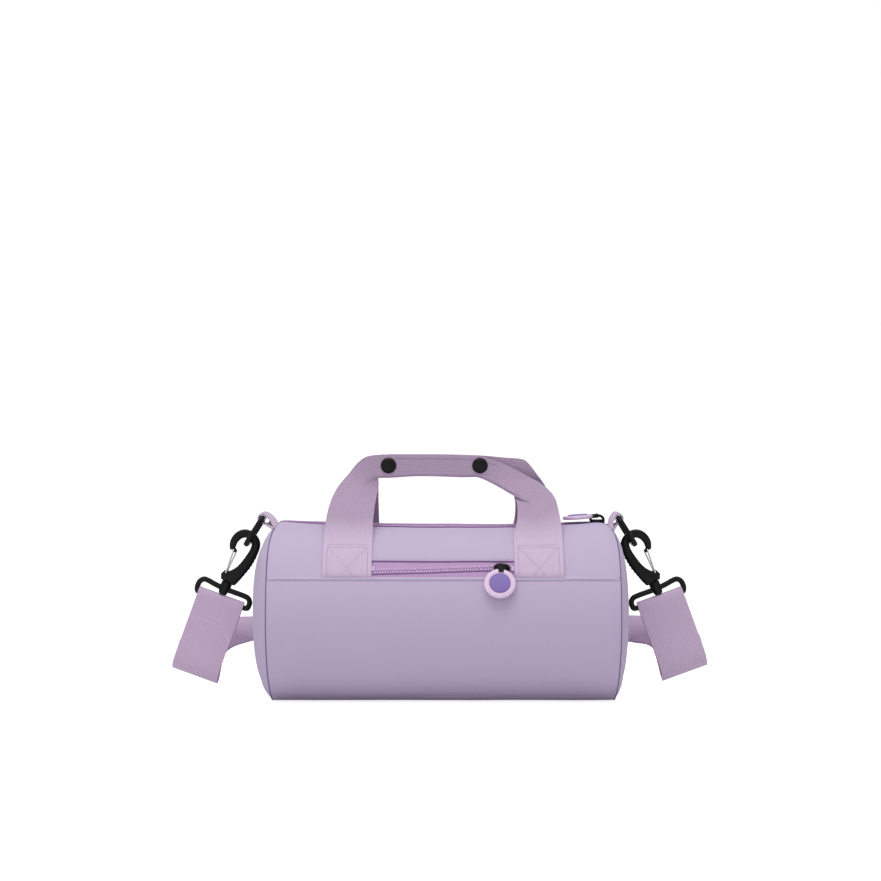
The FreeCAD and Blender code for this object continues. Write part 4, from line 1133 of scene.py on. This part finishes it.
def anchor_row(side, angle):
    """Points across a sewn leg, from its outer edge, at an angle round the barrel."""
    tuck = LEG_TUCK * bell(arc_between(angle, SEAM_ANGLE), LEG_TUCK_REACH)
    shares = [*WEB_SHARES, 0, *[-share for share in reversed(WEB_SHARES)]]
    centre = HANDLE_X + side * LEG_X
    return [skin(centre + side * share * WEB_HALF, angle, WEB_LIFT - tuck) for share in shares]


def handle(word, stations, turned_back):
    """One length of webbing: sewn leg, free leg, folded grip, and down again."""
    rows = [anchor_row(-1, angle) for angle in LEG_ANGLES]
    rows += [folded_row(station) for station in stations]
    rows += [anchor_row(1, angle) for angle in reversed(LEG_ANGLES)]
    grid = smooth_rows(rows, 5)
    if turned_back:
        grid = [[Vector((p.x, -p.y, p.z)) for p in row] for row in grid]
    grip_stitches(word, grid)
    length = length_along(grid)
    obj = webbing(f"{word}_handle_web", grid, WEB_CLOTH, HANDLE_WEB, -length / 2)
    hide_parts(f"{word}_handle", f"{word}_left_anchor", f"{word}_right_anchor")
    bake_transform(obj)


def snap_pair(name, word, node, slot, side, seat, rim, middle, material, sides):
    """Two turned pieces of the snaps on a grip, which face along Y to a side, at a Y of their own."""
    low, high = box_mm(node)
    radius = (high.z - low.z) / 2
    profile = [(radius + step, height) for step, height in rim] + middle
    pair = []
    for x in (low.x + radius, high.x - radius):
        place = Matrix.Translation((x, seat, (low.z + high.z) / 2))
        place @= Matrix.Rotation(math.radians(-90 * side), 4, "X")
        pair.append(lathe(f"{name}_{len(pair)}", profile, place, material, sides))
    dress(join(name, pair), f"{word}_handle", slot, node)


def handles():
    handle("front", LEFT_LEG + GRIP + FRONT_RIGHT_LEG, False)
    handle("back", BACK_LEFT_LEG + GRIP + BACK_RIGHT_LEG, True)
    for word, side in (("front", -1), ("back", 1)):
        snap_pair(f"{word}_caps", word, f"{word}_snap_caps", "black_plastic", side, side * CAP_SEAT,
                  CAP_RIM, CAP_MIDDLE, BLACK, 48)
    for word, node, side, middle in (("front", "front_snap_sockets", 1, SOCKET_MIDDLE),
                                     ("back", "back_snap_studs", -1, STUD_MIDDLE)):
        snap_pair(f"{word}_snap_halves", word, node, "steel_wire", side, -side * HALF_SEAT,
                  HALF_RIM, middle, STEEL, 40)


# Strap hardware


def paint(node, material):
    """Give a node that stays in view a finish of its own."""
    mesh = frame["nodes"][node].data
    mesh.materials.clear()
    mesh.materials.append(material)


def at_swivel(side, lean, across, along, y=0.0):
    """Point drawn about the left swivel, leaning outward; side is +1 for its mirror image."""
    turn = math.radians(lean)
    swivel = joint_point("left_hook_swivel")
    x = swivel.x + across * math.cos(turn) + along * math.sin(turn)
    z = swivel.z - across * math.sin(turn) + along * math.cos(turn)
    return Vector((-side * x, y, z))


def on_hook(side, across, along):
    return at_swivel(side, HOOK_LEAN, across, along)


def swivel_place(side):
    """Matrix at a swivel, whose Z runs along the hook."""
    turn = Matrix.Rotation(math.radians(-side * HOOK_LEAN), 4, "Y")
    return Matrix.Translation(on_hook(side, 0, 0)) @ turn


def spine_at(path, along):
    """Middle and half width of the hook's spine, that far from its swivel."""
    nearest = min(path[:len(path) // 2], key=lambda station: abs(station[1] - along))
    return nearest[0], nearest[2]


def hook(side, word):
    """Snap hook with a broad ridged spine towards the bag, a nub behind its nose and a jaw for its gate."""
    path = smooth_path(HOOK_STATIONS, 4)
    points = [on_hook(side, across, along) for across, along, half in path]
    sections = []
    for across, along, half in path:
        sections.append((HOOK_HALF_THICKNESS * min(1.0, 0.55 + half / 7), half, Y_AXIS))
    body = tube(f"{word}_hook_body", points, sections, BLACK, fullness=0.55)
    details = []
    for k in range(RIDGES):
        along = RIDGE_START + k * RIDGE_PITCH
        across, half = spine_at(path, along)
        centre = on_hook(side, across + half - RIDGE_SINK, along)
        outward = on_hook(side, across + half + 5, along) - centre
        details.append(capsule(centre, Y_AXIS, outward, *RIDGE_SIZE))
    jaw = on_hook(side, *JAW)
    details.append(capsule(on_hook(side, *NUB), Y_AXIS, Z_AXIS, *NUB_SIZE))
    details.append(capsule(jaw, Y_AXIS, jaw - on_hook(side, JAW[0], 0), *JAW_SIZE))
    trim = add_mesh(f"{word}_hook_detail", *gather(details), BLACK)
    stem = lathe(f"{word}_stem", STEM, swivel_place(side), BLACK, 24)
    obj = join(f"{word}_hook_soft", [body, trim, stem])
    dress(obj, f"{word}_hook", "black_plastic", f"{word}_hook")


def swivel_base(side, word):
    """Bent rod with a hub, which the hook turns in and the strap passes round."""
    path = smooth_path(LOOP_STATIONS + LOOP_STATIONS[:1], 4)[:-1]
    points = [at_swivel(side, STRAP_LEAN, across, along) for across, along in path]
    rod = tube(f"{word}_rod", points, [(ROD_RADIUS, ROD_RADIUS, Y_AXIS)] * len(points), BLACK, closed=True)
    hub = lathe(f"{word}_hub", HUB, swivel_place(side), BLACK, 32)
    dress(join(f"{word}_swivel_soft", [rod, hub]), "bag", "black_plastic", f"{word}_swivel_base")


def tab_line(side, bar, width):
    """Line of a tab on the left, that far from its middle: from the seam, round the bar and back."""
    loose = TAB_LOOSE * (width / TAB_WIDTH + 0.5)
    over = TAB_OVER + loose
    root = skin(side * SEAM_X, TAB_ANGLE + arc_angle(width), 0.2)
    root.x = -abs(root.x)
    path = [root]
    for turn in TAB_TURNS:
        bend = math.radians(turn)
        path.append(Vector((bar.x + loose + over * math.cos(bend), width, bar.z + over * math.sin(bend))))
    run = path[1] - root
    arch = Vector((run.z, 0, -run.x)).normalized() * TAB_BOW
    path.insert(1, root + run / 2 + arch)
    path.append(root + TAB_END)
    return smooth_path([tuple(point) for point in path], 4)


def ring_tab(side, word):
    """Loop of webbing from the front of the seam's top, round the ring's bar and back under itself."""
    bar = joint_point("left_ring_swing")
    rows = []
    for width in steps_between(-TAB_WIDTH / 2, TAB_WIDTH / 2, 2.0):
        rows.append([Vector((-side * x, y, z)) for x, y, z in tab_line(side, bar, width)])
    grid = [list(line) for line in zip(*rows)]
    obj = webbing(f"{word}_tab_web", grid, TAB_CLOTH, HANDLE_WEB, TAB_WEAVE_START)
    dress(obj, "bag", "handle_webbing", f"{word}_ring_tab")


def hardware():
    for side, word in ENDS:
        ring_tab(side, word)
        hook(side, word)
        swivel_base(side, word)
        paint(f"{word}_ring", BLACK)
        paint(f"{word}_gate", STEEL)
    softened("strap_adjuster", "strap_adjuster", "black_plastic", BLACK, 0.6, 3)


# Shoulder strap


def strap_row(middle, across):
    """Points across the strap."""
    across = across.normalized()
    return [middle + across * offset for offset in steps_between(-WEB_HALF, WEB_HALF, WEB_HALF / 4)]


def drop_across(side):
    return at_swivel(side, STRAP_LEAN, 1, 0) - at_swivel(side, STRAP_LEAN, 0, 0)


def drop_rows(side):
    """Rows up the back leg, over the bar and down the front leg of a drop."""
    back_leg = BACK_LEGS[side]
    behind = [(-FRONT_LEG_Y, along) for along in (-back_leg, -back_leg / 2 - BAR_DROP / 2, -BAR_DROP - 1)]
    over = []
    for turn in (45, 90, 135):
        bend = math.radians(turn)
        over.append((-FRONT_LEG_Y * math.cos(bend), -BAR_DROP - FRONT_LEG_Y * math.sin(bend)))
    drop = DROPS[side]
    front = [(FRONT_LEG_Y, along) for along in (-BAR_DROP - 1, -drop / 3, -drop * 2 / 3, -drop)]
    across = drop_across(side)
    return [strap_row(at_swivel(side, STRAP_LEAN, 0, along, y), across) for y, along in behind + over + front]


def return_rows(side, shift):
    """Rows from the roll under a drop to the run behind the bag, one layer shifted to its outer side."""
    start = at_swivel(side, STRAP_LEAN, 0, -DROPS[side])
    flip = Vector((-side, 1, 1))
    rows = []
    for offset, inner in ROLL_STATIONS:
        middle = start + (Vector(offset) - Vector(inner).normalized() * shift) * flip
        rows.append(strap_row(middle, drop_across(side)))
    for place, across, inner in LEAD_STATIONS:
        middle = (Vector(place) - Vector(inner).normalized() * shift) * flip
        rows.append(strap_row(middle, Vector(across) * flip))
    return rows


def run_rows(x0, x1, y):
    return [strap_row(Vector((x, y, RUN_HEIGHT)), -Z_AXIS) for x in steps_between(x0, x1, 30.0)]


def strap():
    """One length of webbing: sewn left end, drop, run behind the bag, right drop and its free tail."""
    rows = drop_rows(-1)
    rows += return_rows(-1, 0.0)
    rows += run_rows(RUN_LOW.x, RUN_HIGH.x, RUN_Y)
    rows += reversed(return_rows(1, -LAYER_SHIFT)[1:])
    rows += drop_rows(1)
    rows += return_rows(1, LAYER_SHIFT)
    rows += reversed(run_rows(TAIL_LOW.x, TAIL_HIGH.x, TAIL_Y))
    grid = smooth_rows(rows, 5)
    grid = [[Vector((p.x, p.y, max(p.z, RUN_LOW.z))) for p in row] for row in grid]
    obj = webbing("shoulder_strap", grid, WEB_CLOTH, STRAP_WEB)
    dress(obj, "bag", "strap_webbing", "strap_left_end", "strap_right_end", "strap_left_return",
          "strap_right_return", "strap_back_run", "strap_tail")


# Stitching


def stitches(path, ups, pitch, length, radius):
    """Stitches a pitch apart along a path of close points, lying on the cloth."""
    row = []
    travelled = 0.0
    due = pitch / 2
    for here, there, up in zip(path, path[1:], ups):
        span = there - here
        while due <= travelled + span.length:
            centre = here + span * ((due - travelled) / span.length)
            row.append(capsule(centre, span, up, length, radius, radius))
            due += pitch
        travelled += span.length
    return row


def sew(name, row, material, body, slot):
    dress(add_mesh(name, *gather(row), material), body, slot)


def line_on_bag(start, end, height, steps=40):
    """Close points and outward directions above the barrel, between two pairs of X and angle."""
    places = [Vector(start).lerp(Vector(end), k / steps) for k in range(steps + 1)]
    path = [skin(x, angle, height) for x, angle in places]
    return path, [point - Vector((place.x, 0, AXIS_HEIGHT)) for point, place in zip(path, places)]


def leg_stitches():
    """Box and cross that sew each leg of both handles to the bag; the cross runs on under the seam."""
    height = WEB_LIFT + WEB_CLOTH / 2 + STITCH_LIFT
    low = BOX_LOW
    high = BOX_HIGH
    cut = (high - low) / (2 * (high - CROSS_ANGLE))
    row = []
    for centre in (HANDLE_X - LEG_X, HANDLE_X + LEG_X):
        left = centre - WEB_HALF + BOX_INSET
        right = centre + WEB_HALF - BOX_INSET
        reach = (right - left) * cut
        lines = [((left, high), (right, high)), ((left, UPPER_ROW), (right, UPPER_ROW)),
                 ((left, low), (left, high)), ((right, low), (right, high)),
                 ((left, high), (left + reach, low)), ((right, high), (right - reach, low))]
        for start, end in lines:
            row += stitches(*line_on_bag(start, end, height), *WEB_STITCH)
            behind = [(x, 180 - angle) for x, angle in (start, end)]
            row += stitches(*line_on_bag(*behind, height), *WEB_STITCH)
    sew("leg_stitches", row, THREAD, "bag", "handle_webbing")


def seam_stitches():
    """Row below the front seam's welt."""
    angle = SEAM_ANGLE - arc_angle(WELT + SEAM_ROW_DROP)
    end = SEAM_X - SEAM_ROW_MARGIN
    line = line_on_bag((-end, angle), (end, angle), -SEAM_ROW_SINK, 400)
    sew("seam_stitches", stitches(*line, *SEAM_STITCH), SEAM_THREAD, "bag", "body_fabric")


def grip_stitches(word, grid):
    """Row that closes the folded grip, near its open edge, on both of its faces."""
    normals = grid_normals(grid)
    on_grip = []
    for i, line in enumerate(grid):
        if abs(line[0].x - HANDLE_X) < GRIP_ROW_HALF and line[0].z > GRIP_ROW_LOW:
            on_grip.append(i)
    row = []
    for column in (1, len(grid[0]) - 2):
        ups = [normals[i][column] for i in on_grip]
        for height in (WEB_CLOTH / 2 + STITCH_LIFT, -WEB_CLOTH / 2 - STITCH_LIFT):
            path = [grid[i][column] + up * height for i, up in zip(on_grip, ups)]
            row += stitches(path, ups, *WEB_STITCH)
    sew(f"{word}_grip_stitches", row, GRIP_THREAD, f"{word}_handle", "handle_webbing")


def strap_stitches():
    """Row that sews down the folded left end of the strap."""
    face = FRONT_LEG_Y - WEB_CLOTH / 2 - STITCH_LIFT
    path = [at_swivel(-1, STRAP_LEAN, across, STRAP_SEWN, face) for across in steps_between(*STRAP_ROW, 1.0)]
    row = stitches(path, [-Y_AXIS] * len(path), *STRAP_STITCH)
    sew("strap_stitches", row, PALE_THREAD, "bag", "strap_webbing")


# Stage, light and camera


def camera_rays(tree):
    """One for rays that show the background: straight from the camera, mirrored or through glass."""
    rays = add_node(tree, "ShaderNodeLightPath", {})
    seen = math_node(tree, "MAXIMUM", rays.outputs["Is Camera Ray"], rays.outputs["Is Glossy Ray"])
    return math_node(tree, "MAXIMUM", seen, rays.outputs["Is Transmission Ray"])


def floor():
    """Wide pale floor that shows white to the camera and still takes the object's shadow."""
    material = bpy.data.materials.new("floor")
    material.use_nodes = True
    tree = material.node_tree
    tree.nodes.clear()
    level = math_node(tree, "MULTIPLY", camera_rays(tree), FLOOR_GLOW)
    glow = add_node(tree, "ShaderNodeEmission", {"Color": WHITE, "Strength": level})
    matt = add_node(tree, "ShaderNodeBsdfDiffuse", {"Color": FLOOR_COLOUR})
    both = add_node(tree, "ShaderNodeAddShader", {0: glow.outputs[0], 1: matt.outputs[0]})
    add_node(tree, "ShaderNodeOutputMaterial", {"Surface": both.outputs[0]})
    mesh = bpy.data.meshes.new("floor")
    corners = [(x * FLOOR_REACH, y * FLOOR_REACH, 0) for x, y in ((-1, -1), (1, -1), (1, 1), (-1, 1))]
    mesh.from_pydata(corners, [], [(0, 1, 2, 3)])
    mesh.materials.append(material)
    link("floor", mesh)


def world():
    """Even soft light all round, seen as white."""
    sky = bpy.data.worlds.new("studio")
    bpy.context.scene.world = sky
    sky.use_nodes = True
    tree = sky.node_tree
    glow = tree.nodes["Background"]
    glow.inputs["Color"].default_value = WHITE
    range_inputs = {"Value": camera_rays(tree), "To Min": SKY_LEVEL, "To Max": 1.0}
    level = add_node(tree, "ShaderNodeMapRange", range_inputs)
    tree.links.new(level.outputs["Result"], glow.inputs["Strength"])


def softbox(name, place, size, power):
    """Large square lamp that looks at the bag."""
    lamp = bpy.data.lights.new(name, "AREA")
    lamp.energy = power
    lamp.size = size
    obj = link(name, lamp)
    obj.location = place
    obj.rotation_euler = (AIM - Vector(place)).to_track_quat("-Z", "Y").to_euler()


def camera():
    """Level camera in front of the bag, at the height of the picture's middle."""
    lens = bpy.data.cameras.new("camera")
    lens.sensor_width = SENSOR
    lens.lens = SENSOR * CAMERA_DISTANCE / VIEW_WIDTH
    obj = link("camera", lens)
    obj.location = (0, -CAMERA_DISTANCE, CAMERA_HEIGHT)
    obj.rotation_euler = (math.radians(90), 0, 0)
    bpy.context.scene.camera = obj


front_upper()
front_lower()
back_and_base()
for side, word in ENDS:
    end_panel(side, word)
    seam_piping(side, word)
lining()
pocket_bag()
zips()
pulls()
handles()
hardware()
strap()
leg_stitches()
seam_stitches()
strap_stitches()
floor()
world()
for lamp in SOFTBOXES:
    softbox(*lamp)
camera()
bpy.context.scene.view_settings.view_transform = "Standard"
